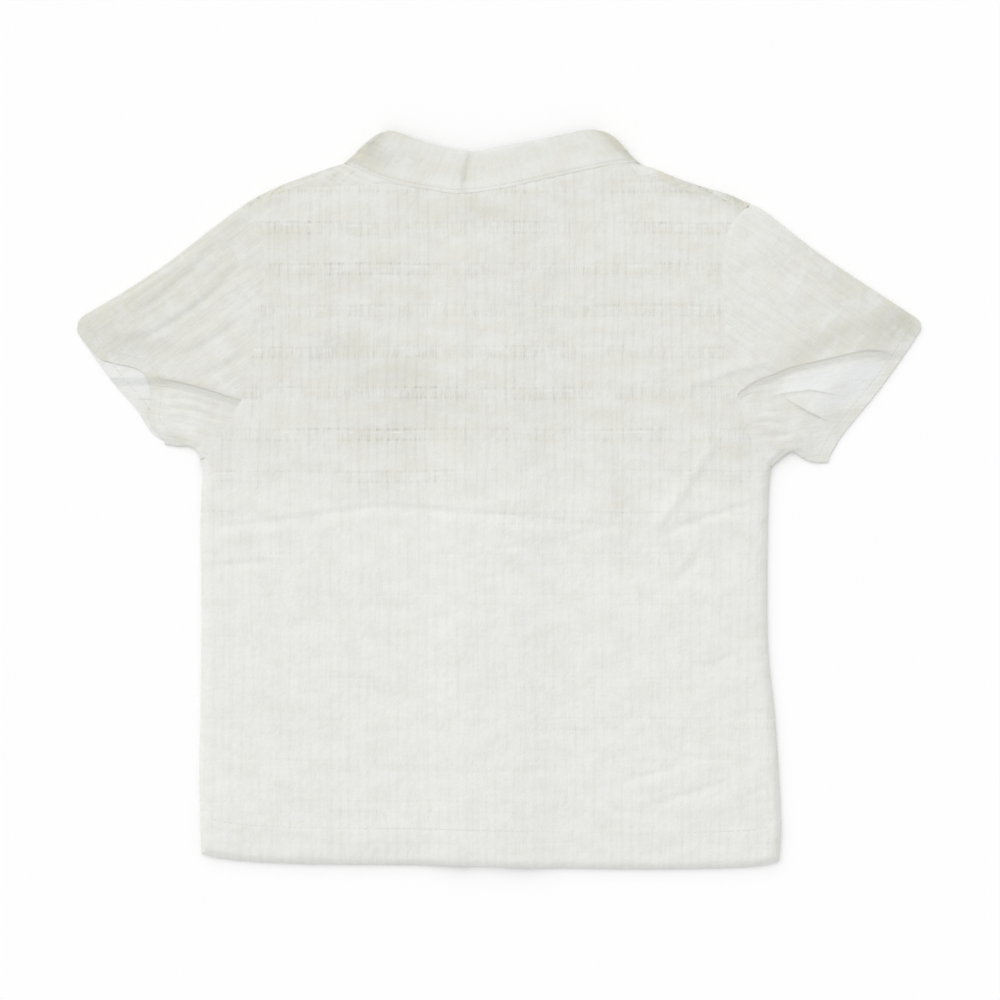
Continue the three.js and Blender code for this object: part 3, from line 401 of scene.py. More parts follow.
# Painted shade on the sleeves, and painted light where the amount is below zero
SLEEVE_SPOTS = [
    SoftSpot(-171, 58, 9, 2.6, 0.35),
    SoftSpot(-200, 84, 12, 10, 0.12),
    SoftSpot(-165, 78, 12, 8, 0.1),
    SoftSpot(-172, 97, 10, 6, 0.1),
    SoftSpot(-160, 37, 9, 5, -0.35),
    SoftSpot(-163, 29.5, 8, 3, 0.35),
    SoftSpot(158, 33, 11, 8, -0.3),
    SoftSpot(199, 74, 6, 6, -0.25),
    SoftSpot(183, 56, 8, 9, -0.25),
    SoftSpot(133, 57, 7, 5, 0.15),
]
# Painted shade and painted light on the sleeves' lower layer
UNDER_SPOTS = [
    SoftSpot(-162, 28.5, 9, 3.5, 0.5),
    SoftSpot(-177, 43, 4, 5, 0.25),
    SoftSpot(-187, 59.5, 10, 2.4, -0.12),
]
# Painted shade along the sleeves' creases, and painted light on the facets below them where the rise is
# below zero
SLEEVE_LINES = [
    Crease([(-186, 63), (-170, 60.5), (-150, 56.5), (-124, 48)], 0.25, 2, 1, 0),
    Crease([(134, 60), (150, 70), (170, 79), (190, 84.5), (212, 91)], 0.36, 6, 6, 0),
    Crease([(136, 56), (156, 59), (176, 63), (196, 66)], -0.5, 7, 6, 0),
    Crease([(150, 47), (164, 48), (176, 52), (184, 60)], -0.4, 7, 5, 0),
]


# Curves and grids

def curve_through(table, samples=400):
    """Dense points along a smooth curve through the table's points."""
    points = np.array(table, float)
    spans = len(points) - 1
    t = np.linspace(0, spans, samples + 1)
    i = np.minimum(t.astype(int), spans - 1)
    w = (t - i)[:, None]
    p0 = points[np.maximum(i - 1, 0)]
    p1 = points[i]
    p2 = points[i + 1]
    p3 = points[np.minimum(i + 2, spans)]
    v0 = (p2 - p0) / 2
    v1 = (p3 - p1) / 2
    cubic = (2 * p1 - 2 * p2 + v0 + v1) * w**3
    square = (-3 * p1 + 3 * p2 - 2 * v0 - v1) * w**2
    return cubic + square + v0 * w + p1


def run_of(curve):
    """Length along a curve up to each of its points."""
    steps = np.linalg.norm(np.diff(curve, axis=0), axis=1)
    return np.concatenate(([0.0], np.cumsum(steps)))


def shares_of(curve):
    run = run_of(curve)
    return run / run[-1]


def at_lengths(curve, lengths):
    run = run_of(curve)
    return np.stack([np.interp(lengths, run, column) for column in curve.T], axis=1)


def at_shares(curve, shares):
    return at_lengths(curve, np.asarray(shares) * run_of(curve)[-1])


def spaced(table, steps):
    return at_shares(curve_through(table), np.linspace(0, 1, steps + 1))


def left_of(points):
    """Unit vectors to the left of a curve, one for each of its points."""
    before = points[np.maximum(np.arange(len(points)) - 1, 0)]
    after = points[np.minimum(np.arange(len(points)) + 1, len(points) - 1)]
    along = after - before
    along /= np.linalg.norm(along, axis=1, keepdims=True)
    return np.stack([-along[:, 1], along[:, 0]], axis=1)


def shifted(points, distance):
    return points + left_of(points) * distance


def nearest_index(points, place):
    return int(np.argmin(np.linalg.norm(points - place, axis=1)))


def filled(bottom, top, left, right, fade=BEND_FADE):
    """Points between four boundary curves, as [row, column]. The bends of the sides fade out."""
    v = ((shares_of(left) + shares_of(right)) / 2)[:, None]
    u = shares_of(bottom)[None, :] * (1 - v) + shares_of(top)[None, :] * v
    left_bend = left - (bottom[0] * (1 - v) + top[0] * v)
    right_bend = right - (bottom[-1] * (1 - v) + top[-1] * v)
    grid = bottom[None] * (1 - v[..., None]) + top[None] * v[..., None]
    grid = grid + left_bend[:, None, :] * ((1 - u) ** fade)[..., None]
    return grid + right_bend[:, None, :] * (u**fade)[..., None]


def edged_shares(length, pitch):
    """Shares along a run, closer together next to its ends."""
    start = np.array([0, 0.3, 0.7, 1.2, 1.9, 2.8])
    end = length - start[::-1]
    count = max(2, round((end[0] - start[-1]) / pitch))
    middle = np.linspace(start[-1], end[0], count + 1)
    return np.concatenate((start[:-1], middle, end[1:])) / length


def smooth(t):
    """Rises softly from 0 to 1 while t goes from 0 to 1."""
    s = np.clip(t, 0, 1)
    return s * s * (3 - 2 * s)


def bell(off, width):
    """1 where off is 0, falling off softly on both sides."""
    return np.exp(-((off / width) ** 2))


def beside(path, points):
    """Distance of points from a path, above zero on its left, and the share of its run."""
    shares = shares_of(path)
    flat = points.reshape(-1, 2)
    nearest = np.full(len(flat), np.inf)
    signed = np.zeros(len(flat))
    along = np.zeros(len(flat))
    for k in range(len(path) - 1):
        step = path[k + 1] - path[k]
        square = step @ step
        if square == 0:
            continue
        offset = flat - path[k]
        t = np.clip(offset @ step / square, 0, 1)
        away = offset - t[:, None] * step
        distance = np.hypot(away[:, 0], away[:, 1])
        closer = distance < nearest
        side = np.where(step[0] * offset[:, 1] - step[1] * offset[:, 0] < 0, -1, 1)
        nearest = np.where(closer, distance, nearest)
        signed = np.where(closer, side * distance, signed)
        along = np.where(closer, shares[k] + t * (shares[k + 1] - shares[k]), along)
    return signed.reshape(points.shape[:-1]), along.reshape(points.shape[:-1])


# Heights

OUTLINE = np.concatenate([
    spaced(SIDE_LEFT, 24),
    spaced(UNDERARM_LEFT, 4),
    spaced(HEM_UNDER_LEFT[::-1], 14),
    spaced(SLEEVE_TOP_LEFT[::-1], 14),
    spaced(SHOULDER_FOLD_LEFT, 8),
    spaced(COLLAR_FOLD_LEFT, 6),
    spaced(COLLAR_TOP_EDGE, 12),
    spaced(COLLAR_FOLD_RIGHT[::-1], 6),
    spaced(SHOULDER_FOLD_RIGHT[::-1], 8),
    spaced(SLEEVE_TOP_RIGHT, 14),
    spaced(HEM_UNDER_RIGHT, 14),
    spaced(UNDERARM_RIGHT[::-1], 4),
    spaced(SIDE_RIGHT[::-1], 24),
    spaced(HEM_EDGE[::-1], 24),
])
OUTLINE = np.concatenate((OUTLINE, OUTLINE[:1]))
HEM_CURVE = spaced(HEM_EDGE, 60)


def hem_y(x):
    return np.interp(x, HEM_CURVE[:, 0], HEM_CURVE[:, 1])


def in_body_hem(points):
    return smooth(BODY_HEM + 0.5 - (points[..., 1] - hem_y(points[..., 0])))


def faded_ends(path, along, length):
    """1 along a path, and falling to 0 over that length at its ends."""
    run = run_of(path)[-1]
    return smooth(along * run / length) * smooth((1 - along) * run / length)


def crease_height(points, creases):
    height = np.zeros(points.shape[:-1])
    for crease in creases:
        path = curve_through(crease.path, PATH_SAMPLES)
        aside, along = beside(path, points)
        main = crease.rise * bell(aside, np.where(aside > 0, crease.before, crease.after))
        lip = crease.lip * bell(aside + LIP_PLACE * crease.after, LIP_WIDTH * crease.after)
        height += (main + lip) * faded_ends(path, along, CREASE_END)
    return height


def crease_shade_lines(points, shade_lines):
    """Signed distance to the nearest painted shade line, and how dark that line is there."""
    off = np.full(points.shape[:-1], FAR_OFF)
    depth = np.zeros(points.shape[:-1])
    for line in shade_lines:
        path = curve_through(line.path, PATH_SAMPLES)
        aside, along = beside(path, points)
        nearer = np.abs(aside) < np.abs(off)
        off = np.where(nearer, aside, off)
        depth = np.where(nearer, line.depth * faded_ends(path, along, LINE_END), depth)
    return off, depth


def wave_height(points):
    x = points[..., 0]
    y = points[..., 1]
    height = np.zeros(points.shape[:-1])
    for wave in WAVES:
        turn = math.radians(wave.direction)
        run = x * math.cos(turn) + y * math.sin(turn)
        sway = SWAY_X[0] * np.sin(x / SWAY_X[1] + wave.start) + SWAY_Y[0] * np.sin(y / SWAY_Y[1])
        height += wave.height * np.sin(2 * np.pi * run / wave.length + wave.start + sway)
    return height


def band_rise(points):
    """How much the upper layer is carried by the bands and the collar ends under it."""
    x = points[..., 0] - CENTRE_X
    left = smooth((x + RISE_LEFT[0]) / RISE_LEFT[1])
    right = smooth((RISE_RIGHT[0] - x) / RISE_RIGHT[1])
    below_neck = smooth((RISE_NECK[0] - points[..., 1]) / RISE_NECK[1])
    return BAND_RISE * np.minimum(left, right) * below_neck


def upper_top(points, creases=()):
    """Top of the upper layer."""
    inside = np.abs(beside(OUTLINE, points)[0])
    edge = np.clip(inside / ROLL_WIDTH, 0, 1)
    drop = EDGE_DROP * (1 - np.sqrt(1 - (1 - edge) ** 2))
    roll = ROLL_RISE * smooth(edge)
    crown = CROWN_RISE * (1 - np.exp(-inside / CROWN_REACH))
    form = EDGE_TOP - drop + roll + crown + band_rise(points)
    shape = crease_height(points, creases) + wave_height(points)
    return form + shape * smooth(inside / CREASE_MARGIN)


def button_centres():
    rows = [FIRST_BUTTON_Y - i * BUTTON_PITCH for i in range(BUTTON_COUNT)]
    return np.array([COLLAR_BUTTON_Y, *rows])


def button_rise(points):
    """How far the buttons push the bands up from the table."""
    x = np.abs(points[..., 0] - CENTRE_X)
    aside = smooth((BUMP_END_X - x) / (BUMP_END_X - BUMP_FLAT))
    nearest = np.abs(points[..., 1, None] - button_centres()).min(axis=-1)
    along = smooth((BUMP_END_Y - nearest) / (BUMP_END_Y - BUMP_FLAT))
    return (BUTTON_HEIGHT + SEAM_GAP) * np.minimum(aside, along)


def right_lift(x):
    """How far the right front stands off the table where it lies on the left one."""
    start = CENTRE_X + BAND_HALF_WIDTH + LIFT_START
    end = CENTRE_X + LIFT_END
    return UPPER_BAND_Z * smooth((end - x) / (end - start))


def soft_spots(points, spots):
    shade = np.zeros(points.shape[:-1])
    for spot in spots:
        x = (points[..., 0] - spot.x) / spot.reach_x
        y = (points[..., 1] - spot.y) / spot.reach_y
        shade += spot.amount * np.exp(-(x**2) - y**2)
    return shade


def body_shade(points):
    """How much painted shade and show-through darken the body: more along the shoulder folds, where the
    fronts' shoulders lie under it.
    """
    upper = UPPER_SHADE * smooth((points[..., 1] - UPPER_SHADE_Y) / UPPER_SHADE_REACH)
    return upper + soft_spots(points, BODY_SPOTS) + crease_height(points, BODY_LINES)


def with_height(points, height):
    return np.concatenate((points, np.broadcast_to(height, points.shape[:-1])[..., None]), axis=-1)


# Meshes

def cloth_object(name, outer, weave, wall, shade=None, turned=False, closed=False, shade_lines=()):
    """A piece of cloth from its outer face, as [row, column] points in millimetres.

    weave holds each point's place on the flat cloth, in millimetres, and shade how much painted
    shade and show-through of the layers below darken it; below zero it paints light. closed joins
    the last column to the first.
    """
    rows, columns = outer.shape[:2]
    bm = bmesh.new()
    bmesh.ops.create_grid(bm, x_segments=columns - 1, y_segments=rows - 1, size=0.5)
    if turned:
        bmesh.ops.reverse_faces(bm, faces=bm.faces)
    mesh = bpy.data.meshes.new(name)
    bm.to_mesh(mesh)
    bm.free()
    count = len(mesh.vertices)
    unit = np.zeros(count * 3)
    mesh.vertices.foreach_get("co", unit)
    unit = unit.reshape(-1, 3)
    column = np.rint((unit[:, 0] + 0.5) * (columns - 1)).astype(int)
    row = np.rint((unit[:, 1] + 0.5) * (rows - 1)).astype(int)
    mesh.vertices.foreach_set("co", (outer[row, column] * MM).ravel())
    corners = np.zeros(len(mesh.loops), int)
    mesh.loops.foreach_get("vertex_index", corners)
    places = mesh.uv_layers.new(name="weave")
    places.uv.foreach_set("vector", weave[row, column][corners].ravel().astype(np.float32))
    off, depth = crease_shade_lines(outer[..., :2], shade_lines)
    shade = np.zeros((rows, columns)) if shade is None else shade
    for label, values in (("show_through", shade), ("crease_shade_off", off), ("crease_shade_depth", depth)):
        stored = mesh.attributes.new(label, "FLOAT", "POINT")
        stored.data.foreach_set("value", values[row, column].astype(np.float32))
    mesh.shade_smooth()
    if closed:
        bm = bmesh.new()
        bm.from_mesh(mesh)
        bmesh.ops.remove_doubles(bm, verts=bm.verts, dist=1e-6)
        bm.to_mesh(mesh)
        bm.free()
    keep_rims_sharp(mesh)
    piece = bpy.data.objects.new(name, mesh)
    bpy.context.scene.collection.objects.link(piece)
    thickness = piece.modifiers.new("Wall", "SOLIDIFY")
    thickness.thickness = wall * MM
    thickness.offset = -1
    return piece


def keep_rims_sharp(mesh):
    """Marks the raw edges of a cloth, so that its face stays smooth up to them."""
    bm = bmesh.new()
    bm.from_mesh(mesh)
    for edge in bm.edges:
        edge.smooth = not edge.is_boundary
    bm.to_mesh(mesh)
    bm.free()


def finish_cloth(piece, node, weave_values):
    """Gives a piece of cloth its material and its place in the frame."""
    piece.data.materials.append(cloth_material(weave_values))
    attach(piece, "root")
    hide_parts(node)


def thread_piece(name, bm):
    """Makes an object of sewing thread, and frees the mesh that it was built in."""
    mesh = bpy.data.meshes.new(name)
    bm.to_mesh(mesh)
    bm.free()
    mesh.shade_smooth()
    piece = bpy.data.objects.new(name, mesh)
    bpy.context.scene.collection.objects.link(piece)
    piece.data.materials.append(thread_material())
    return piece


def stitch_rows(name, paths, length, pitch, width=STITCH_WIDTH, height=STITCH_HEIGHT):
    """Rows of machine stitches along paths of points in millimetres."""
    bm = bmesh.new()
    for path in paths:
        for k in range(int(run_of(path)[-1] // pitch)):
            middle = (k + 0.5) * pitch
            ends = at_lengths(path, np.array([middle - length / 2, middle, middle + length / 2]))
            along = Vector(ends[2] - ends[0]).normalized()
            across = Vector((0, 0, 1)).cross(along).normalized()
            turn = Matrix((along, across, along.cross(across))).transposed().to_4x4()
            size = Matrix.Diagonal((length / 2 * MM, width / 2 * MM, height * MM, 1))
            place = Matrix.Translation(Vector(ends[1]) * MM) @ turn @ size
            bmesh.ops.create_uvsphere(bm, u_segments=6, v_segments=4, radius=1, matrix=place)
    piece = thread_piece(name, bm)
    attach(piece, "root")


# Materials

def feed(tree, source, target):
    """Links a socket, or sets a plain value."""
    if isinstance(source, bpy.types.NodeSocket):
        tree.links.new(source, target)
    else:
        target.default_value = source


def add_node(tree, kind, inputs=None, **settings):
    """Adds a node, sets what is named, and feeds its inputs, by name or number."""
    made = tree.nodes.new(kind)
    for key, value in settings.items():
        setattr(made, key, value)
    for key, source in (inputs or {}).items():
        feed(tree, source, made.inputs[key])
    return made


def calc(tree, operation, first, second=0.0, third=0.0):
    inputs = {0: first, 1: second, 2: third}
    return add_node(tree, "ShaderNodeMath", inputs, operation=operation).outputs[0]


def times(tree, first, second):
    return calc(tree, "MULTIPLY", first, second)


def times_plus(tree, first, second, added):
    return calc(tree, "MULTIPLY_ADD", first, second, added)


def ramp(tree, value, low, high, out_low=0.0, out_high=1.0):
    inputs = {"Value": value, "From Min": low, "From Max": high, "To Min": out_low, "To Max": out_high}
    made = add_node(tree, "ShaderNodeMapRange", inputs, interpolation_type="SMOOTHSTEP")
    return made.outputs["Result"]


def noise(tree, place, stretch, detail=2.0, roughness=0.5):
    """Noise over the place, in which stretch gives the features for each millimetre."""
    mapping = add_node(tree, "ShaderNodeMapping", {"Vector": place, "Scale": stretch})
    inputs = {"Vector": mapping.outputs["Vector"], "Scale": 1.0, "Detail": detail,
              "Roughness": roughness}
    return add_node(tree, "ShaderNodeTexNoise", inputs, noise_dimensions="3D").outputs["Fac"]


def pulse(tree, value, period, centre, half_width):
    """A soft line of that half width, repeated at each period."""
    turned = calc(tree, "DIVIDE", calc(tree, "SUBTRACT", value, centre - period / 2), period)
    place = times(tree, calc(tree, "FRACT", turned), period)
    off = calc(tree, "ABSOLUTE", calc(tree, "SUBTRACT", place, period / 2))
    return ramp(tree, off, half_width, half_width * 0.25)


def blend(tree, factor, first, second):
    inputs = {0: factor, 6: first, 7: second}
    return add_node(tree, "ShaderNodeMix", inputs, data_type="RGBA").outputs[2]


def opaque(colour):
    return (*colour, 1)


def add_bump(tree, height, strength, distance, shader):
    inputs = {"Strength": strength, "Distance": distance, "Height": height}
    feed(tree, add_node(tree, "ShaderNodeBump", inputs).outputs["Normal"], shader.inputs["Normal"])


def object_place(tree):
    """Place on the object, in millimetres."""
    place = add_node(tree, "ShaderNodeTexCoord").outputs["Object"]
    inputs = {0: place, "Scale": 1 / MM}
    return add_node(tree, "ShaderNodeVectorMath", inputs, operation="SCALE").outputs[0]


def new_material(name):
    """A material with its node tree and its shader."""
    material = bpy.data.materials.new(name)
    material.use_nodes = True
    tree = material.node_tree
    return material, tree, tree.nodes["Principled BSDF"]


def new_group(name, inputs, outputs):
    group = bpy.data.node_groups.new(name, "ShaderNodeTree")
    for label, kind, value in inputs:
        socket = group.interface.new_socket(name=label, in_out="INPUT", socket_type=kind)
        if value is not None:
            socket.default_value = value
    for label, kind in outputs:
        group.interface.new_socket(name=label, in_out="OUTPUT", socket_type=kind)
    entry = add_node(group, "NodeGroupInput")
    leave = add_node(group, "NodeGroupOutput")
    return group, entry, leave


def weave_group():
    """Open stripes along the cloth, pairs of dashed rows across it, and its fine crinkle."""
    found = bpy.data.node_groups.get("Crinkled weave")
    if found:
        return found
    inputs = [
        ("Place", "NodeSocketVector", None),
        ("Show through and painted shade", "NodeSocketFloat", 0.0),
        ("Rows", "NodeSocketFloat", 1.0),
        ("Stripes", "NodeSocketFloat", 1.0),
        ("Streaks", "NodeSocketFloat", 0.4),
    ]
    outputs = [
        ("Slits with painted shade", "NodeSocketFloat"),
        ("Ribs", "NodeSocketFloat"),
        ("Mottle", "NodeSocketFloat"),
        ("Warmth", "NodeSocketFloat"),
        ("Height", "NodeSocketFloat"),
    ]
    group, entry, leave = new_group("Crinkled weave", inputs, outputs)
    place = entry.outputs["Place"]
    # Painted shade and show-through, which deepen the slits, rows and hanging streaks
    show = times(group, entry.outputs["Show through and painted shade"], 2.2)
    split = add_node(group, "ShaderNodeSeparateXYZ", {0: place})
    wander = noise(group, place, (0.02, 0.013, 1), 2)
    sway = noise(group, place, (0.011, 0.03, 1), 2)
    across = times_plus(group, wander, 7.0, split.outputs["X"])
    along = times_plus(group, sway, 4.0, split.outputs["Y"])

    # Open stripes: thin lines over soft bands
    stripes = 0.0
    for k, centre in enumerate(STRIPE_PLACES):
        line = pulse(group, across, STRIPE_REPEAT, centre, 0.7 + 0.12 * k)
        stripes = calc(group, "MAXIMUM", line, stripes)
    strong = pulse(group, across, STRONG_REPEAT, STRONG_PLACE, 0.55)
    bands = pulse(group, across, BAND_REPEAT, 1.4, 1.9)
    broken = ramp(group, noise(group, place, (0.5, 0.06, 1), 3), 0.36, 0.64)
    patches = ramp(group, noise(group, place, (0.045, 0.06, 1), 3), 0.35, 0.65)
    stripes = times(group, stripes, times_plus(group, broken, 0.8, 0.1))
    strong = times(group, strong, times_plus(group, broken, 0.7, 0.2))
    bands = times(group, bands, times_plus(group, patches, 0.5, 0.15))

    # Dashed rows in pairs
    first_row = pulse(group, along, ROW_REPEAT, ROW_PLACE, 0.85)
    second_row = pulse(group, along, ROW_REPEAT, ROW_PLACE - ROW_PAIR, 0.95)
    light_row = pulse(group, along, ROW_REPEAT, ROW_PLACE - ROW_LIGHT, 0.8)
    rows = calc(group, "MAXIMUM", first_row, times(group, second_row, 0.7))
    dashes = ramp(group, noise(group, place, (0.55, 0.04, 1), 2), 0.42, 0.6)
    crossing = calc(group, "MAXIMUM", stripes, strong)
    row_depth = times_plus(group, dashes, 0.5, 0.1)
    row_depth = times_plus(group, crossing, 0.8, row_depth)
    fields = ramp(group, noise(group, place, (0.016, 0.022, 1), 2), 0.4, 0.62, 0.3, 1.0)
    # The rows and ribs are stronger where painted shade and show-through are high
    row_patches_and_shade = times_plus(group, patches, 0.5, 0.25)
    row_patches_and_shade = times_plus(group, show, 0.7, row_patches_and_shade)
    row_patches_and_shade = times(group, row_patches_and_shade, fields)
    row_depth = times(group, row_depth, row_patches_and_shade)
    rows = times(group, times(group, rows, row_depth), entry.outputs["Rows"])

    # Loose threads that hang from the rows: faint everywhere, and deepened by painted shade where the
    # cloth lies on other layers
    hanging_place = calc(group, "ADD", along, ROW_PAIR * 0.6)
    hanging_shade = pulse(group, hanging_place, ROW_REPEAT, ROW_PLACE, 4.9)
    threads = ramp(group, noise(group, place, (0.95, 0.09, 1), 2), 0.5, 0.66)
    hanging_shade = times(group, hanging_shade, threads)
    hanging_shade = times(group, hanging_shade, times_plus(group, show, 0.9, 0.08))
    hanging_shade = times(group, hanging_shade, entry.outputs["Rows"])

    # Streaks of thick and thin yarn
    thin = noise(group, place, (1.1, 0.07, 1), 3, 0.6)
    wide = noise(group, place, (0.3, 0.025, 1), 2, 0.5)
    yarn = times_plus(group, wide, 0.6, thin)
    streaks = times(group, ramp(group, yarn, 0.72, 0.95), entry.outputs["Streaks"])

    # Painted shade: the slits and rows darken more where shade and show-through are high
    shade_boost = times_plus(group, show, 0.9, 0.6)
    dark = times_plus(group, stripes, 0.3, times(group, strong, 0.4))
    dark = times_plus(group, bands, 0.22, dark)
    dark = times(group, dark, entry.outputs["Stripes"])
    dark = times(group, calc(group, "ADD", dark, rows), shade_boost)
    dark = calc(group, "ADD", calc(group, "ADD", dark, hanging_shade), streaks)
    feed(group, calc(group, "MINIMUM", dark, 1.6), leave.inputs["Slits with painted shade"])

    light_breaks = ramp(group, noise(group, place, (0.2, 0.05, 1), 2), 0.42, 0.7)
    ribs = times(group, times(group, light_row, light_breaks), row_patches_and_shade)
    ribs = times(group, ribs, entry.outputs["Rows"])
    bright_yarn = times(group, ramp(group, yarn, 0.72, 0.5), entry.outputs["Streaks"])
    feed(group, times_plus(group, bright_yarn, 0.5, ribs), leave.inputs["Ribs"])

    crinkle = noise(group, place, (0.36, 0.24, 1), 4, 0.6)
    grain = noise(group, place, (1.1, 0.7, 1), 3, 0.65)
    blotches = noise(group, place, (0.09, 0.13, 1), 4, 0.6)
    mottle = times_plus(group, grain, 0.3, times(group, crinkle, 0.35))
    feed(group, times_plus(group, blotches, 0.8, mottle), leave.inputs["Mottle"])

    feed(group, noise(group, place, (0.06, 0.11, 1), 3, 0.6), leave.inputs["Warmth"])

    height = times(group, dark, -0.14)
    height = times_plus(group, ribs, 0.14, height)
    height = times_plus(group, crinkle, 0.8, height)
    height = times_plus(group, blotches, 0.8, height)
    height = times_plus(group, grain, 0.25, height)
    feed(group, height, leave.inputs["Height"])
    return group


def cloth_material(weave_values):
    name, rows, stripes, streaks = weave_values
    found = bpy.data.materials.get(name)
    if found:
        return found
    looks = bpy.context.scene.shirt_looks
    material, tree, shader = new_material(name)
    place = add_node(tree, "ShaderNodeUVMap", uv_map="weave").outputs["UV"]
    show = add_node(tree, "ShaderNodeAttribute", attribute_name="show_through").outputs["Fac"]
    inputs = {"Place": place, "Show through and painted shade": show, "Rows": rows, "Stripes": stripes, "Streaks": streaks}
    weave = add_node(tree, "ShaderNodeGroup", inputs, node_tree=weave_group())

    # Colour: painted shade where the layers below show through, mottling, slits deepened by painted
    # shade, warm patches stronger under painted shade, cool patches that also paint light where the
    # shade is below zero, painted shade lines in creases, light ribs
    under = opaque(looks.under_and_shade_colour)
    slit_and_line_shade = opaque(looks.slit_and_line_shade_colour)
    colour = blend(tree, show, opaque(looks.cloth_colour), under)
    colour = blend(tree, ramp(tree, weave.outputs["Mottle"], 0.55, 0.95, 0, 0.2), colour, under)
    colour = blend(tree, times(tree, weave.outputs["Slits with painted shade"], looks.slit_strength), colour, slit_and_line_shade)
    # Warm patches, laid on more strongly under painted shade
    warm_and_shade = times_plus(tree, show, 0.8, 0.04)
    warm_and_shade = times(tree, ramp(tree, weave.outputs["Warmth"], 0.48, 0.68), warm_and_shade)
    colour = blend(tree, warm_and_shade, colour, opaque(looks.warm_and_shade_colour))
    cool_and_painted_light = ramp(tree, weave.outputs["Warmth"], 0.5, 0.34, 0, 0.3)
    # Painted light: where the shade value is below zero the cloth turns cooler
    cool_and_painted_light = calc(tree, "MAXIMUM", cool_and_painted_light, times(tree, show, -2.5))
    colour = blend(tree, cool_and_painted_light, colour, opaque(looks.cool_and_light_colour))
    crease_shade_off = add_node(tree, "ShaderNodeAttribute", attribute_name="crease_shade_off").outputs["Fac"]
    crease_shade_depth = add_node(tree, "ShaderNodeAttribute", attribute_name="crease_shade_depth").outputs["Fac"]
    # Painted shade lines along the sharpest creases
    line = ramp(tree, calc(tree, "ABSOLUTE", crease_shade_off), 0.75, 0.12)
    colour = blend(tree, times(tree, line, crease_shade_depth), colour, slit_and_line_shade)
    colour = blend(tree, times(tree, weave.outputs["Ribs"], 0.4), colour, (0.9, 0.9, 0.87, 1))
    feed(tree, colour, shader.inputs["Base Color"])

    add_bump(tree, weave.outputs["Height"], looks.crinkle_strength, MM, shader)
    feed(tree, ramp(tree, weave.outputs["Mottle"], 0.4, 1.1, 0.84, 0.95), shader.inputs["Roughness"])
    shader.inputs["Specular IOR Level"].default_value = 0.2
    shader.inputs["Sheen Weight"].default_value = 0.15
    shader.inputs["Sheen Roughness"].default_value = 0.5
    return material


def thread_material():
    found = bpy.data.materials.get("Sewing thread")
    if found:
        return found
    thread = bpy.context.scene.shirt_looks.thread_colour
    material, tree, shader = new_material("Sewing thread")
    twist = noise(tree, object_place(tree), (2.2, 2.2, 2.2), 2)
    darker = opaque(value * 0.86 for value in thread)
    feed(tree, blend(tree, twist, opaque(thread), darker), shader.inputs["Base Color"])
    add_bump(tree, twist, 0.3, 0.2 * MM, shader)
    shader.inputs["Roughness"].default_value = 0.6
    return material


def button_material():
    resin = bpy.context.scene.shirt_looks.button_colour
    material, tree, shader = new_material("Button resin")
    place = object_place(tree)
    cloud = ramp(tree, noise(tree, place, (0.35, 0.2, 0.4), 3), 0.35, 0.65)
    milky = opaque(min(1.0, value * 1.12) for value in resin)
    feed(tree, blend(tree, cloud, opaque(resin), milky), shader.inputs["Base Color"])
    fine = noise(tree, place, (3, 3, 3), 2)
    feed(tree, ramp(tree, fine, 0.2, 0.8, 0.28, 0.42), shader.inputs["Roughness"])
    shader.inputs["Coat Weight"].default_value = 0.3
    shader.inputs["Coat Roughness"].default_value = 0.15
    return material


# Pieces

def side_rows(is_left, looks):
    """The side seam and the armhole as one run of rows, closer at the hem and its stitches."""
    side = curve_through(SIDE_LEFT if is_left else SIDE_RIGHT)
    arm = curve_through(ARMHOLE_LEFT if is_left else ARMHOLE_RIGHT)
    lengths = np.concatenate((
        [0, 0.4, 1.0, 1.8],
        np.linspace(2.8, BODY_HEM - 1.5, 12),
        [BODY_HEM - 0.8, BODY_HEM, BODY_HEM + 0.8],
        np.linspace(BODY_HEM + 1.6, run_of(side)[-1], round(SIDE_LENGTH / looks.pitch)),
    ))
    round_arm = at_shares(arm, np.linspace(0, 1, round(ARMHOLE_LENGTH / looks.pitch) + 1))
    return np.concatenate((at_lengths(side, lengths), round_arm[1:]))


def seam_dip(points, path, depth, width, puff, puff_at):
    """A seam: a narrow dip along the path, and the cloth standing up a little beside it."""
    off = np.abs(beside(path, points)[0])
    return -depth * bell(off, width) + puff * bell(off - puff_at, PUFF_WIDTH)


def puckers(points, path, pitch, depth, reach):
    """Small uneven ripples that the stitching of a seam draws in across it."""
    off, along = beside(path, points)
    run = along * run_of(path)[-1]
    ripple = np.sin(2 * np.pi * run / pitch + 1.3 * np.sin(run / 11.0))
    strength = 0.6 + 0.4 * np.sin(run / 17.0 + 2.0)
    return depth * ripple * strength * bell(off, reach)


def hem_line(inset):
    return shifted(HEM_CURVE, inset)


def back_heights(points):
    stitches = hem_line(BODY_HEM - STITCH_INSET)
    top = upper_top(points, BODY_CREASES)
    top += HEM_THICKER * in_body_hem(points)
    top += seam_dip(points, stitches, *HEM_DIP)
    top += puckers(points, stitches, *HEM_PUCKERS)
    for table in (ARMHOLE_LEFT, ARMHOLE_RIGHT):
        path = spaced(table, 40)
        top += seam_dip(points, path, *ARMHOLE_DIP) + puckers(points, path, *ARMHOLE_PUCKERS)
    top += seam_dip(points, spaced(SHOULDER_SEAM_LEFT, 30), *SHOULDER_DIP)
    top += seam_dip(points, spaced(SHOULDER_SEAM_RIGHT, 30), *FLAT_DIP)
    collar = spaced(COLLAR_SEAM, 40)
    return top + seam_dip(points, collar, *COLLAR_DIP) + puckers(points, collar, *COLLAR_PUCKERS)


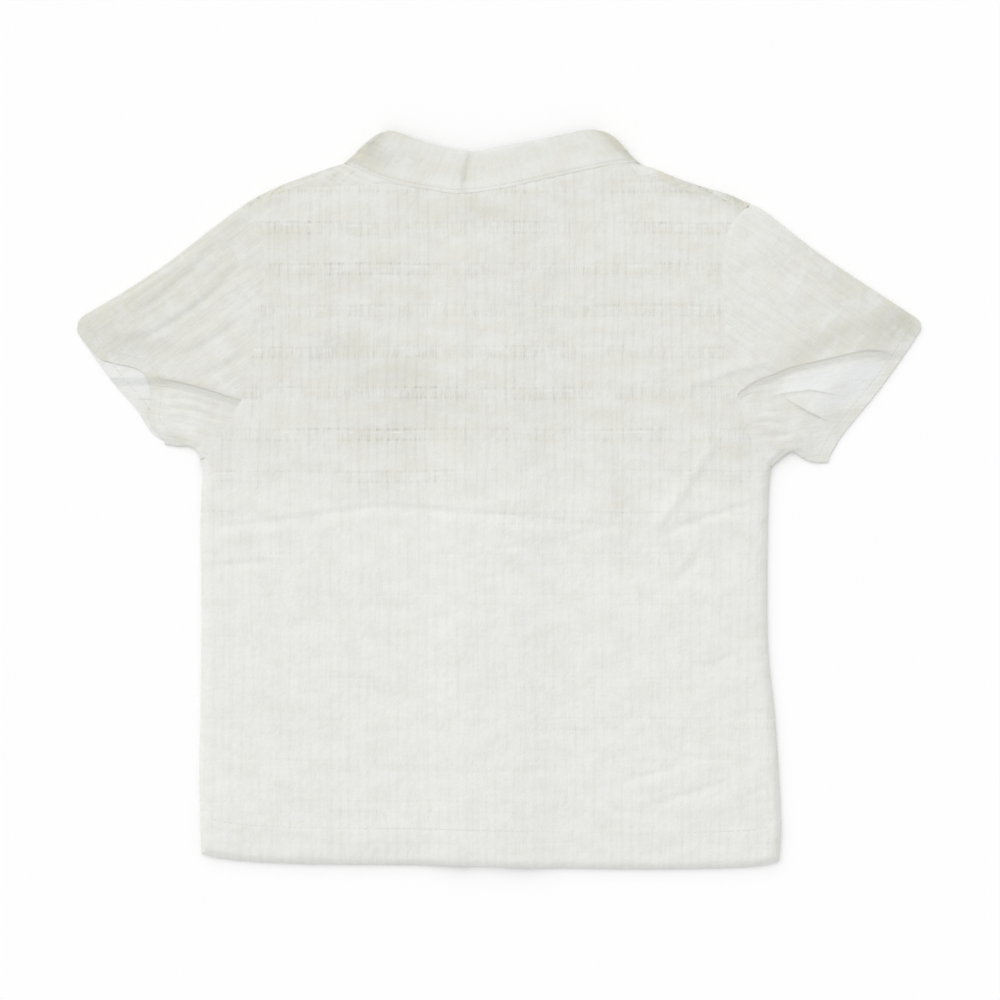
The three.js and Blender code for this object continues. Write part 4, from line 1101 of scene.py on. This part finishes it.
def fold_inward(is_left, shares):
    """Unit vectors from the outline into the collar, from its seam to its top edge."""
    seams = np.array(COLLAR_SEAM if is_left else COLLAR_SEAM[::-1], float)
    seam_run = (seams[1] - seams[0]) / np.linalg.norm(seams[1] - seams[0])
    top_run = np.array([1.0 if is_left else -1.0, 0.0])
    share = np.asarray(shares, float)[..., None]
    run = seam_run * (1 - share) + top_run * share
    return run / np.linalg.norm(run, axis=-1, keepdims=True)


def collar_fold(is_left, shares):
    """The collar's fold at one side of the neck, on the outline."""
    return at_shares(curve_through(COLLAR_FOLD_LEFT if is_left else COLLAR_FOLD_RIGHT), shares)


def fold_ends(is_left):
    """Where the collar's flat half begins beside its fold: on its seam and on its top edge."""
    ends = np.array([0.0, 1.0])
    return collar_fold(is_left, ends) + fold_inward(is_left, ends) * COLLAR_FOLD_RADIUS


def neck_seam(is_left, steps):
    table = NECK_SEAM_LEFT if is_left else NECK_SEAM_RIGHT
    return spaced([tuple(fold_ends(is_left)[0]), *table[1:]], steps)


def collar_curves(steps=120):
    """The seam and the top edge of the collar's back half, from the left fold to the right."""
    seam_start, top_start = fold_ends(True)
    seam_end, top_end = fold_ends(False)
    seams = spaced([tuple(seam_start), *COLLAR_SEAM[1:-1], tuple(seam_end)], steps)
    tops = spaced([tuple(top_start), *COLLAR_TOP_EDGE[1:-1], tuple(top_end)], steps)
    return seams, tops


def fold_bend(is_left, shares):
    """How far the fold bends outwards from the straight line between its ends."""
    path = collar_fold(is_left, shares)
    return path - (path[0] + (path[-1] - path[0]) * np.asarray(shares)[:, None])


def across_collar(seams, tops, shares, left_away=None, right_away=None):
    """Points between the seam and the top edge, bent beside the folds, as [station, share].

    left_away and right_away are the distances of the stations from each fold.
    """
    share = shares[None, :, None]
    points = seams[:, None] * (1 - share) + tops[:, None] * share
    for is_left, away in ((True, left_away), (False, right_away)):
        if away is not None:
            fade = bell(away, FOLD_BEND_REACH)
            points = points + fold_bend(is_left, shares)[None] * fade[:, None, None]
    return points


def collar_back(shares):
    """Points of the collar's back half, which lies on top."""
    seams, tops = collar_curves()
    run = run_of(tops)
    return across_collar(seams, tops, shares, run, run[-1] - run)


def turned_over(outer, inward, radius, height, turn):
    """Points of a folded edge: turn 0 is under the fold, 0.5 the outline, 1 on top."""
    angle = math.pi * turn
    flat = outer + inward * (radius * (1 - math.sin(angle)))
    return with_height(flat, np.asarray(height) / 2 * (1 - math.cos(angle)))


def sewn_back(looks):
    left = side_rows(True, looks)
    right = side_rows(False, looks)
    seam_left = spaced(SHOULDER_SEAM_LEFT, 60)
    seam_right = spaced(SHOULDER_SEAM_RIGHT, 60)
    collar = collar_curves()[0]
    first = nearest_index(collar, seam_left[-1])
    last = nearest_index(collar, seam_right[-1])
    edge = np.concatenate((seam_left[:-1], collar[first : last + 1], seam_right[-2::-1]))
    top = shifted(edge, SEAM_CLEAR)
    columns = edged_shares(BODY_WIDTH, looks.column_pitch)
    bottom = at_shares(HEM_CURVE, columns)
    top = at_shares(top, columns)
    left[-1] = top[0]
    right[-1] = top[-1]
    points = filled(bottom, top, left, right)
    outer = with_height(points, back_heights(points))
    return cloth_object("back_cloth", outer, points, looks.cloth_wall / MM, body_shade(points))


def front_layer(is_left, looks):
    """The lower layer of a front, and the outer and inner line of its shoulder fold."""
    sign = 1 if is_left else -1
    edge_x = CENTRE_X - sign * (BAND_HALF_WIDTH + BAND_CLEAR)
    side = side_rows(is_left, looks)[::2]
    shares = np.linspace(0, 1, FRONT_STEPS + 1)
    outer = spaced(SHOULDER_FOLD_LEFT if is_left else SHOULDER_FOLD_RIGHT, FRONT_STEPS)
    fold = outer + left_of(outer) * -sign * FOLD_RADIUS
    neckline = shifted(neck_seam(is_left, 40), -sign * NECK_CLEAR)
    # The last third of the fold bends over to the start of the collar's seam
    fold += (neckline[0] - fold[-1]) * smooth(3 * shares - 2)[:, None]
    neckline = neckline[1:]
    neckline[-1, 0] = edge_x
    top = np.concatenate((fold, neckline))
    side[-1] = top[0]
    share = np.linspace(0, 1, len(top))
    x = side[0, 0] + (edge_x - side[0, 0]) * share
    bottom = np.stack((x, hem_y(x)), axis=1)
    bottom[0] = side[0]
    rows = shares_of(side)[:, None]
    centre = np.concatenate((np.full_like(rows, edge_x),
                             bottom[-1, 1] + (top[-1, 1] - bottom[-1, 1]) * rows), axis=1)
    points = filled(bottom, top, side, centre, FRONT_BEND_FADE)
    return with_height(points, 0.0 if is_left else right_lift(points[..., 0])), outer, fold


def shoulder_strip(is_left, outer, fold):
    """The front's narrow strip, round its shoulder fold and on to the shoulder seam."""
    sign = 1 if is_left else -1
    height = upper_top(fold)
    over = [turned_over(outer, fold - outer, 1.0, height, turn) for turn in FOLD_TURNS]
    seam = curve_through(SHOULDER_SEAM_LEFT if is_left else SHOULDER_SEAM_RIGHT)
    # Columns start square to the fold, and lean over towards the collar further along
    even = run_of(fold)[-1] / run_of(seam)[-1]
    shares = np.linspace(0, 1, FRONT_STEPS + 1)
    seam = at_shares(seam, shares * even + (1 - even) * shares**4)
    collar = collar_curves()[0][:: 1 if is_left else -1]
    near = nearest_index(collar, seam[-1])
    across = np.linspace(0, 1, STRIP_POINTS)
    neck_side = at_shares(shifted(collar, sign * SEAM_CLEAR)[: near + 1], across)
    neck_side[0] = fold[-1]
    seam[-1] = neck_side[-1]
    arm_side = fold[0] + (seam[0] - fold[0]) * across[:, None]
    strip = filled(fold, seam, arm_side, neck_side)
    dip = seam_dip(strip, seam, *(SHOULDER_DIP if is_left else FLAT_DIP))
    return np.stack([*over, *with_height(strip, upper_top(strip) + dip)])


def joined_front(name, is_left, looks):
    """The front as one cloth: its lower layer, and the strip that goes on over the shoulder."""
    lower, outer, fold = front_layer(is_left, looks)
    wall = looks.cloth_wall / MM
    low = cloth_object(name, lower, lower[..., :2], wall, None, not is_left)
    strip = np.concatenate((lower[-1:, : FRONT_STEPS + 1], shoulder_strip(is_left, outer, fold)))
    gone = np.cumsum(np.linalg.norm(np.diff(strip, axis=0, prepend=strip[:1]), axis=2), axis=0)
    start = np.broadcast_to(strip[0, :, :2], (*gone.shape, 2))
    weave = np.stack((start[..., 0], start[..., 1] + gone), axis=-1)
    # No painted shade or show-through on the row that both share, and all of it from the fold's edge on
    shade = body_shade(strip[..., :2]) * smooth(np.arange(len(strip)) / SHADE_ROWS)[:, None]
    high = cloth_object(name + "_strip", strip, weave, wall, shade, not is_left)
    bm = bmesh.new()
    bm.from_mesh(low.data)
    bm.from_mesh(high.data)
    bmesh.ops.remove_doubles(bm, verts=bm.verts, dist=1e-6)
    bmesh.ops.reverse_faces(bm, faces=bm.faces)
    bm.to_mesh(low.data)
    bm.free()
    keep_rims_sharp(low.data)
    old = high.data
    bpy.data.objects.remove(high)
    bpy.data.meshes.remove(old)
    return low


def sleeve_weave(points, is_left):
    """Place on the flat cloth: the stripes run along the sleeve, and turn below its crease."""
    start, tip = np.array(SLEEVE_TOP_LEFT if is_left else SLEEVE_TOP_RIGHT)[[0, -1]]
    crease = (LEFT_SLEEVE_CREASES if is_left else RIGHT_SLEEVE_CREASES)[0]
    turn = math.radians(BELOW_TURN_LEFT if is_left else BELOW_TURN_RIGHT)

    def along(run):
        offset = points[..., :2] - start
        return np.stack((offset @ (-run[1], run[0]), offset @ run), axis=-1)

    above = along((tip - start) / np.linalg.norm(tip - start))
    below = along(np.array([math.cos(turn), math.sin(turn)]))
    line = np.interp(points[..., 0], *curve_through(crease.path, PATH_SAMPLES).T)
    share = smooth((line - points[..., 1]) / 5 + 0.2)[..., None]
    return above * (1 - share) + below * share


def sleeve_layers(is_left, looks):
    """The parts of a sleeve: its two folds, and its upper and lower face as [row, column]."""
    sign = 1 if is_left else -1
    steps = round(SLEEVE_LENGTH / looks.sleeve_pitch)
    around = round(SLEEVE_ROUND / looks.sleeve_column_pitch)
    outer_top = spaced(SLEEVE_TOP_LEFT if is_left else SLEEVE_TOP_RIGHT, steps)
    outer_below = spaced(UNDERARM_LEFT if is_left else UNDERARM_RIGHT, steps)
    taper = smooth((np.linspace(0, 1, steps + 1) - TIP_START) / (1 - TIP_START))
    radius = (FOLD_RADIUS + (TIP_RADIUS - FOLD_RADIUS) * taper)[:, None]
    top = outer_top + left_of(outer_top) * sign * radius
    below = outer_below + left_of(outer_below) * -sign * FOLD_RADIUS
    # The fold starts where the body's side fold ends, and turns into its own direction from there
    corner = outer_below[0] + (sign * UNDERARM_CORNER[0], UNDERARM_CORNER[1])
    below += (corner - below[0]) * (1 - smooth(run_of(outer_below) / UNDERARM_TURN))[:, None]
    seam = curve_through(ARMHOLE_LEFT if is_left else ARMHOLE_RIGHT)
    seam = seam[nearest_index(seam, below[0]) :]
    clear = np.argmax(np.hypot(*(seam - below[0]).T) > UNDERARM_CLEAR)
    seam = np.concatenate((below[:1], seam[clear:]))
    armhole = at_shares(seam[::-1], np.linspace(0, 1, around + 1))
    armhole[:, 0] += sign * ARMHOLE_LAP
    armhole[0] = top[0]
    armhole[-1] = below[0]

    def layer(table):
        hem = spaced([tuple(top[-1]), *table, tuple(below[-1])], around)
        return filled(armhole, hem, top, below)

    over = layer(HEM_OVER_LEFT if is_left else HEM_OVER_RIGHT)
    under = layer(HEM_UNDER_LEFT if is_left else HEM_UNDER_RIGHT)
    creases = [*(LEFT_SLEEVE_CREASES if is_left else RIGHT_SLEEVE_CREASES), SHOULDER_RIDGE]
    off_hem = np.abs(beside(over[-1], over)[0])
    height = upper_top(over, creases)
    height += HEM_THICKER * smooth(SLEEVE_HEM + 0.4 - off_hem)
    height -= SLEEVE_HEM_DIP[0] * bell(off_hem - SLEEVE_HEM + STITCH_INSET, SLEEVE_HEM_DIP[1])
    arm_path = spaced(ARMHOLE_LEFT if is_left else ARMHOLE_RIGHT, 40)
    height += seam_dip(over, arm_path, *ARMHOLE_DIP) + puckers(over, arm_path, *ARMHOLE_PUCKERS)
    sunk = HEM_SUNK_TOP + (height - HEM_SUNK_TOP) * HEM_RISE_KEPT
    height = sunk + (height - sunk) * smooth(off_hem / HEM_SINK_REACH)

    def fold(outer, inner, heights, turns):
        return [turned_over(outer, inner - outer, 1.0, heights, turn) for turn in turns]

    top_fold = fold(outer_top, top, height[:, 0], FOLD_TURNS)
    below_fold = fold(outer_below, below, height[:, -1], FOLD_TURNS[::-1])
    return with_height(over, height), below_fold, with_height(under, 0.0), top_fold


def sewn_sleeve(name, is_left, looks):
    over, below_fold, under, top_fold = sleeve_layers(is_left, looks)
    folds = [np.stack(fold, axis=1) for fold in (below_fold, top_fold)]
    rings = np.concatenate((over, folds[0], under[:, ::-1], folds[1], over[:, :1]), axis=1)
    places = rings[..., :2]
    # Painted shade, more beside the fold along the top, and painted light where spots and lines are
    # below zero
    rim, along = beside(spaced(SLEEVE_TOP_LEFT if is_left else SLEEVE_TOP_RIGHT, 20), places)
    near_rim = RIM_SHADE * bell(rim, RIM_REACH_LEFT if is_left else RIM_REACH_RIGHT)
    if is_left:
        shade = LEFT_SLEEVE_SHADE + near_rim
    else:
        shade = RIGHT_SHOULDER_SHADE + (RIGHT_SLEEVE_SHADE + near_rim) * smooth(along * 1.6)
    shade += soft_spots(places, SLEEVE_SPOTS) + crease_height(places, SLEEVE_LINES)
    first = over.shape[1] + len(below_fold)
    lower = slice(first, first + under.shape[1])
    shade[:, lower] = soft_spots(places[:, lower], UNDER_SPOTS) + UNDER_SHADE
    weave = sleeve_weave(rings, is_left)
    shade_lines = LEFT_SLEEVE_SHADE_LINES if is_left else RIGHT_SLEEVE_SHADE_LINES
    return cloth_object(name, rings, weave, looks.cloth_wall / MM, shade, is_left, True, shade_lines)


def sleeve_hem_paths(is_left, looks):
    """Where the stitches of a sleeve's hem run: on its upper face, and on both sides below."""
    over, _, under, _ = sleeve_layers(is_left, looks)
    inset = SLEEVE_HEM - STITCH_INSET
    inner_face = looks.cloth_wall / MM
    paths = []
    for layer, lift in ((over, STITCH_OFF), (under, inner_face + STITCH_OFF), (under, -STITCH_OFF)):
        off = np.abs(beside(layer[-1, :, :2], layer[..., :2])[0])
        rows = np.argmax(off < inset, axis=0)
        columns = np.arange(layer.shape[1])
        before = off[rows - 1, columns]
        share = ((before - inset) / (before - off[rows, columns]))[:, None]
        path = layer[rows - 1, columns] * (1 - share) + layer[rows, columns] * share
        paths.append(path[2:-2] + (0, 0, lift))
    return paths


def collar_height(points, shares):
    """Top of the collar's back half: its seam lies on the body, its top edge stands higher."""
    seam = upper_top(points) + COLLAR_STEP
    height = seam + (COLLAR_EDGE_Z - seam) * smooth(shares * 1.4)
    height = height + crease_height(points, COLLAR_CREASES)
    dips = ((COLLAR_STITCH_SHARE, COLLAR_STITCH_DIP), (0.0, COLLAR_SEAM_DIP), (1.0, COLLAR_EDGE_DIP))
    for place, (depth, width) in dips:
        height = height - depth * bell(shares - place, width)
    return height


def sewn_collar():
    shares = COLLAR_ROWS

    def turn_over(is_left, turns):
        points = collar_fold(is_left, shares)
        inward = fold_inward(is_left, shares)
        height = collar_height(points + inward * COLLAR_FOLD_RADIUS, shares)
        return [turned_over(points, inward, COLLAR_FOLD_RADIUS, height, turn) for turn in turns]

    def half_run(is_left):
        table = NECK_TOP_LEFT if is_left else NECK_TOP_RIGHT
        seams = neck_seam(is_left, 40)[::-1]
        tops = spaced([tuple(fold_ends(is_left)[1]), *table[1:]], 40)[::-1]
        reach = 1 if is_left else -1
        ends = CENTRE_X + reach * np.linspace(BAND_HALF_WIDTH, -BAND_HALF_WIDTH, 13)
        end_seams = np.stack((ends, np.full(13, NECK_Y)), axis=1)
        end_tops = end_seams + (0, COLLAR_HEIGHT)
        seams = np.concatenate((end_seams, seams[1:]))
        tops = np.concatenate((end_tops, tops[1:]))
        away = run_of(tops)[-1] - run_of(tops)
        points = across_collar(seams, tops, shares, *((away, None) if is_left else (None, away)))
        lift = 0.0 if is_left else right_lift(points[..., 0])
        return list(with_height(points, lift + button_rise(points)))

    back = collar_back(shares)
    back = list(with_height(back, collar_height(back, shares[None, :])))
    stations = [*half_run(True), *turn_over(True, FOLD_TURNS), *back]
    stations += [*turn_over(False, FOLD_TURNS[::-1]), *half_run(False)[::-1]]
    outer = np.array(stations)
    run = run_of(outer[:, len(shares) // 2])
    weave = np.stack((np.broadcast_to(run[:, None], outer.shape[:2]),
                      np.broadcast_to(shares * COLLAR_HEIGHT + 2.0, outer.shape[:2])), axis=-1)
    places = outer[..., :2]
    # Painted shade at the collar's fold ends and along its row of stitching, where layers lie below
    shade = COLLAR_SHADE + soft_spots(places, COLLAR_SPOTS) + crease_height(places, COLLAR_LINES)
    stitching = bell(shares - COLLAR_STITCH_SHARE, COLLAR_STITCH_DIP[1])
    shade = shade + COLLAR_STITCH_SHADE * stitching
    return cloth_object("collar_cloth", outer, weave, BAND_WALL, shade, turned=True)


def sewn_band(name, base_z):
    x = CENTRE_X + np.linspace(-BAND_HALF_WIDTH, BAND_HALF_WIDTH, 19)
    y = np.linspace(hem_y(CENTRE_X), NECK_Y - 0.2, 200)
    points = np.stack(np.meshgrid(x, y), axis=-1)
    outer = with_height(points, base_z + button_rise(points))
    return cloth_object(name, outer, points, BAND_WALL, None, True)


def front_hem_path(is_left):
    """Stitches of a front's hem, on the side that lies on the table."""
    ends = (HEM_CURVE[0, 0] + 3, CENTRE_X - BAND_HALF_WIDTH - 1)
    if not is_left:
        ends = (CENTRE_X + BAND_HALF_WIDTH + 1, HEM_CURVE[-1, 0] - 3)
    x = np.linspace(*ends, 90)
    points = np.stack((x, hem_y(x) + BODY_HEM - STITCH_INSET), axis=1)
    return with_height(points, (0.0 if is_left else right_lift(x)) - STITCH_OFF)


def band_edge_paths():
    """Edge stitching down both sides of the buttonhole band, on the side that lies below."""
    y = np.linspace(hem_y(CENTRE_X) + 1, NECK_Y - 1.2, 700)
    paths = []
    for aside in (STITCH_INSET - BAND_HALF_WIDTH, BAND_HALF_WIDTH - STITCH_INSET):
        points = np.stack((np.full_like(y, CENTRE_X + aside), y), axis=1)
        paths.append(with_height(points, button_rise(points) - STITCH_OFF))
    return paths


def buttonhole_paths():
    """The worked edge of each buttonhole: upright in the band, and level in the collar."""
    turns = np.linspace(0, 2 * np.pi, 80)
    across = BUTTONHOLE_HALF_WIDTH * np.sign(np.cos(turns)) * np.abs(np.cos(turns)) ** 0.5
    oval = np.stack((across, BUTTONHOLE_LENGTH / 2 * np.sin(turns)), axis=1)
    paths = []
    for k, y in enumerate(button_centres()):
        points = (oval[:, ::-1] if k == 0 else oval) + (CENTRE_X, y)
        paths.append(with_height(points, button_rise(points) - STITCH_OFF))
    return paths


def sew_buttons():
    """Two bars of thread across each button, and the threads that go through its holes."""
    bars = []
    for y in button_centres():
        for side in (-1, 1):
            holes = np.array([(CENTRE_X + side * BUTTON_HOLE_SPREAD, y),
                              (CENTRE_X, y + side * BUTTON_HOLE_SPREAD)])
            square = left_of(holes) * THREAD_ASIDE
            for strand in (-1, 1):
                bars.append(with_height(holes + square * strand, THREAD_BAR_Z))
                for hole in holes + square * strand:
                    bars.append(np.array([(*hole, THREAD_END_Z), (*hole, BUTTON_HEIGHT + SEAM_GAP)]))
    radius = THREAD_RADIUS * MM
    bm = bmesh.new()
    for start, end in bars:
        along = Vector(end - start)
        turn = along.to_track_quat("Z", "Y").to_matrix().to_4x4()
        place = Matrix.Translation(Vector((start + end) / 2) * MM) @ turn
        bmesh.ops.create_cone(bm, cap_ends=True, segments=8, radius1=radius, radius2=radius,
                              depth=(along.length + THREAD_RADIUS) * MM, matrix=place)
    piece = thread_piece("button_threads", bm)
    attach(piece, "root")


# The sizes and colours that a user would change

class ShirtLooks(bpy.types.PropertyGroup):
    cloth_wall: FloatProperty(
        name="Cloth thickness", description="Thickness of one layer of cloth",
        default=0.0003, min=0.0002, max=0.002, subtype="DISTANCE", unit="LENGTH", precision=4)
    pitch: FloatProperty(
        name="Body row pitch", description="Spacing of the body's rows, in millimetres",
        default=1.18, min=0.8, max=6)
    column_pitch: FloatProperty(
        name="Body column pitch", description="Spacing of the body's columns, in millimetres",
        default=2.0, min=0.8, max=6)
    sleeve_pitch: FloatProperty(
        name="Sleeve row pitch", description="Spacing of the sleeves' rows, in millimetres",
        default=1.45, min=0.8, max=6)
    sleeve_column_pitch: FloatProperty(
        name="Sleeve column pitch", description="Spacing of the sleeves' columns, in millimetres",
        default=0.88, min=0.5, max=6)
    stitch_length: FloatProperty(
        name="Stitch length", description="Length of a machine stitch",
        default=0.0022, min=0.001, max=0.005, subtype="DISTANCE", unit="LENGTH", precision=4)
    cloth_colour: FloatVectorProperty(
        name="Cloth", description="Colour of the cotton", subtype="COLOR",
        default=(0.815, 0.82, 0.786), min=0, max=1)
    # Also the colour of painted shade
    under_and_shade_colour: FloatVectorProperty(
        name="Cloth over layers", description="Colour where layers below show through",
        subtype="COLOR", default=(0.6, 0.6, 0.525), min=0, max=1)
    # Warm patches, laid on more strongly under painted shade
    warm_and_shade_colour: FloatVectorProperty(
        name="Warm patches", description="Colour of the warmer patches in the cloth",
        subtype="COLOR", default=(0.7, 0.67, 0.56), min=0, max=1)
    # Also the tint of painted light
    cool_and_light_colour: FloatVectorProperty(
        name="Cool patches", description="Colour of the cooler patches in the cloth",
        subtype="COLOR", default=(0.81, 0.825, 0.825), min=0, max=1)
    # Also the colour of painted shade lines in creases
    slit_and_line_shade_colour: FloatVectorProperty(
        name="Open weave", description="Colour inside the open stripes and rows",
        subtype="COLOR", default=(0.47, 0.465, 0.41), min=0, max=1)
    slit_strength: FloatProperty(
        name="Open weave strength", description="How dark the stripes and rows are",
        default=0.36, min=0, max=1, subtype="FACTOR")
    crinkle_strength: FloatProperty(
        name="Crinkle", description="Strength of the fine crinkle",
        default=0.5, min=0, max=1, subtype="FACTOR")
    thread_colour: FloatVectorProperty(
        name="Thread", description="Colour of the sewing thread", subtype="COLOR",
        default=(0.785, 0.79, 0.745), min=0, max=1)
    button_colour: FloatVectorProperty(
        name="Buttons", description="Colour of the buttons", subtype="COLOR",
        default=(0.82, 0.8, 0.73), min=0, max=1)


class ShirtStage(bpy.types.PropertyGroup):
    floor_colour: FloatVectorProperty(
        name="Floor", description="Colour of the floor", subtype="COLOR",
        default=(0.96, 0.96, 0.96), min=0, max=1)
    key_strength: FloatProperty(
        name="Key light", description="Strength of the soft light from the top left",
        default=1.46, min=0)
    key_spread: FloatProperty(
        name="Key spread", description="How wide the key light is in the sky",
        default=1.4, min=0, max=3.1, subtype="ANGLE", unit="ROTATION")
    world_strength: FloatProperty(
        name="Surrounding light", description="Strength of the even light all round",
        default=0.66, min=0)
    view_width: FloatProperty(
        name="Width of view", description="Width that the camera sees at the cloth",
        default=0.5, min=0.1, subtype="DISTANCE", unit="LENGTH")
    lens: FloatProperty(
        name="Lens", description="Focal length of the camera in millimetres",
        default=70.0, min=20)


class SHIRT_OT_back(bpy.types.Operator):
    """Sews the back panel, which is the upper layer"""

    bl_idname = "shirt.back"
    bl_label = "Back panel"

    def execute(self, context):
        piece = sewn_back(context.scene.shirt_looks)
        finish_cloth(piece, "back", BODY_WEAVE)
        return {"FINISHED"}


class SHIRT_OT_fronts(bpy.types.Operator):
    """Sews the two fronts, which lie on the table and fold over the shoulders"""

    bl_idname = "shirt.fronts"
    bl_label = "Fronts"

    def execute(self, context):
        looks = context.scene.shirt_looks
        for side, is_left in (("left", True), ("right", False)):
            piece = joined_front(f"front_{side}_cloth", is_left, looks)
            finish_cloth(piece, f"front_{side}", BODY_WEAVE)
        return {"FINISHED"}


class SHIRT_OT_sleeves(bpy.types.Operator):
    """Sews the two sleeves, flattened tubes with turned hems"""

    bl_idname = "shirt.sleeves"
    bl_label = "Sleeves"

    def execute(self, context):
        looks = context.scene.shirt_looks
        for side, is_left in (("left", True), ("right", False)):
            piece = sewn_sleeve(f"sleeve_{side}_cloth", is_left, looks)
            finish_cloth(piece, f"sleeve_{side}", SLEEVE_WEAVE)
        return {"FINISHED"}


class SHIRT_OT_collar(bpy.types.Operator):
    """Sews the band collar round the neck"""

    bl_idname = "shirt.collar"
    bl_label = "Band collar"

    def execute(self, context):
        piece = sewn_collar()
        finish_cloth(piece, "collar_band", BAND_WEAVE)
        return {"FINISHED"}


class SHIRT_OT_bands(bpy.types.Operator):
    """Sews the buttonhole band and the button band down the centre front"""

    bl_idname = "shirt.bands"
    bl_label = "Front bands"

    def execute(self, context):
        for name, base_z in (("buttonhole_band", 0.0), ("button_band", UPPER_BAND_Z)):
            piece = sewn_band(name + "_cloth", base_z)
            finish_cloth(piece, name, BAND_WEAVE)
        return {"FINISHED"}


class SHIRT_OT_buttons(bpy.types.Operator):
    """Gives the buttons their resin"""

    bl_idname = "shirt.buttons"
    bl_label = "Buttons"

    def execute(self, context):
        resin = button_material()
        for name in ("collar_button", *(f"button_{i + 1}" for i in range(BUTTON_COUNT))):
            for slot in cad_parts[name].material_slots:
                slot.material = resin
        return {"FINISHED"}


class SHIRT_OT_stitching(bpy.types.Operator):
    """Sews the rows of stitches along the hems, the collar and the bands"""

    bl_idname = "shirt.stitching"
    bl_label = "Stitching"

    def execute(self, context):
        looks = context.scene.shirt_looks
        length = looks.stitch_length / MM
        pitch = length + STITCH_SPACE
        hem = at_shares(hem_line(BODY_HEM - STITCH_INSET), np.linspace(0.004, 0.996, 200))
        hem = with_height(hem, back_heights(hem) + STITCH_OFF)
        stitch_rows("hem_stitches", [hem], length, pitch)
        shares = np.array([COLLAR_STITCH_SHARE])
        points = collar_back(shares)[:, 0]
        edge = with_height(points, collar_height(points, shares[0]) + STITCH_OFF)
        stitch_rows("collar_stitches", [edge], length, pitch)
        for side, is_left in (("left", True), ("right", False)):
            paths = sleeve_hem_paths(is_left, looks)
            stitch_rows(f"sleeve_{side}_stitches", paths, length, pitch)
            stitch_rows(f"front_{side}_stitches", [front_hem_path(is_left)], length, pitch)
        stitch_rows("band_stitches", band_edge_paths(), length, pitch)
        stitch_rows("buttonholes", buttonhole_paths(), 0.4, 0.42, 0.9, 0.14)
        sew_buttons()
        return {"FINISHED"}


class SHIRT_OT_stage(bpy.types.Operator):
    """Lays the floor, sets the lights and places the camera"""

    bl_idname = "shirt.stage"
    bl_label = "Stage"

    def execute(self, context):
        stage = context.scene.shirt_stage
        bm = bmesh.new()
        bmesh.ops.create_grid(bm, x_segments=1, y_segments=1, size=FLOOR_REACH)
        bmesh.ops.translate(bm, verts=bm.verts, vec=(0, 0, FLOOR_Z))
        mesh = bpy.data.meshes.new("floor")
        bm.to_mesh(mesh)
        bm.free()
        floor = bpy.data.objects.new("floor", mesh)
        context.scene.collection.objects.link(floor)
        material, _, shader = new_material("Floor")
        shader.inputs["Base Color"].default_value = opaque(stage.floor_colour)
        shader.inputs["Roughness"].default_value = 0.9
        shader.inputs["Specular IOR Level"].default_value = 0.1
        mesh.materials.append(material)

        world = bpy.data.worlds.new("Studio")
        world.use_nodes = True
        background = world.node_tree.nodes["Background"]
        background.inputs["Color"].default_value = (1, 1, 1, 1)
        background.inputs["Strength"].default_value = stage.world_strength
        context.scene.world = world
        context.scene.view_settings.view_transform = "Standard"

        key = bpy.data.lights.new("key", "SUN")
        key.angle = stage.key_spread
        key.energy = stage.key_strength
        lamp = bpy.data.objects.new("key", key)
        lamp.location = KEY_PLACE
        lamp.rotation_euler = (-lamp.location).to_track_quat("-Z", "Y").to_euler()
        context.scene.collection.objects.link(lamp)

        camera = bpy.data.cameras.new("camera")
        camera.lens = stage.lens
        camera.sensor_width = SENSOR_WIDTH
        camera.clip_start = NEAR_CLIP
        eye = bpy.data.objects.new("camera", camera)
        eye.location = (0, VIEW_Y, VIEW_Z + stage.view_width * stage.lens / SENSOR_WIDTH)
        context.scene.collection.objects.link(eye)
        context.scene.camera = eye
        return {"FINISHED"}


class SHIRT_PT_panel(bpy.types.Panel):
    """The shirt's sizes and colours, and a button for each piece"""

    bl_idname = "SHIRT_PT_panel"
    bl_label = "Shirt"
    bl_space_type = "VIEW_3D"
    bl_region_type = "UI"
    bl_category = "Shirt"

    def draw(self, context):
        looks = context.scene.shirt_looks
        stage = context.scene.shirt_stage
        for group in (looks, stage):
            box = self.layout.box()
            for name in group.__annotations__:
                box.prop(group, name)
        for operator in OPERATORS:
            self.layout.operator(operator.bl_idname)


OPERATORS = (
    SHIRT_OT_stage,
    SHIRT_OT_bands,
    SHIRT_OT_fronts,
    SHIRT_OT_back,
    SHIRT_OT_sleeves,
    SHIRT_OT_collar,
    SHIRT_OT_buttons,
    SHIRT_OT_stitching,
)
CLASSES = (ShirtLooks, ShirtStage, *OPERATORS, SHIRT_PT_panel)


def register():
    for item in CLASSES:
        bpy.utils.register_class(item)
    bpy.types.Scene.shirt_looks = PointerProperty(type=ShirtLooks)
    bpy.types.Scene.shirt_stage = PointerProperty(type=ShirtStage)


def unregister():
    del bpy.types.Scene.shirt_stage
    del bpy.types.Scene.shirt_looks
    for item in reversed(CLASSES):
        bpy.utils.unregister_class(item)


def main():
    register()
    bpy.ops.shirt.stage()
    bpy.ops.shirt.bands()
    bpy.ops.shirt.fronts()
    bpy.ops.shirt.back()
    bpy.ops.shirt.sleeves()
    bpy.ops.shirt.collar()
    bpy.ops.shirt.buttons()
    bpy.ops.shirt.stitching()
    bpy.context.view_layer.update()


if __name__ == "__main__":
    main()
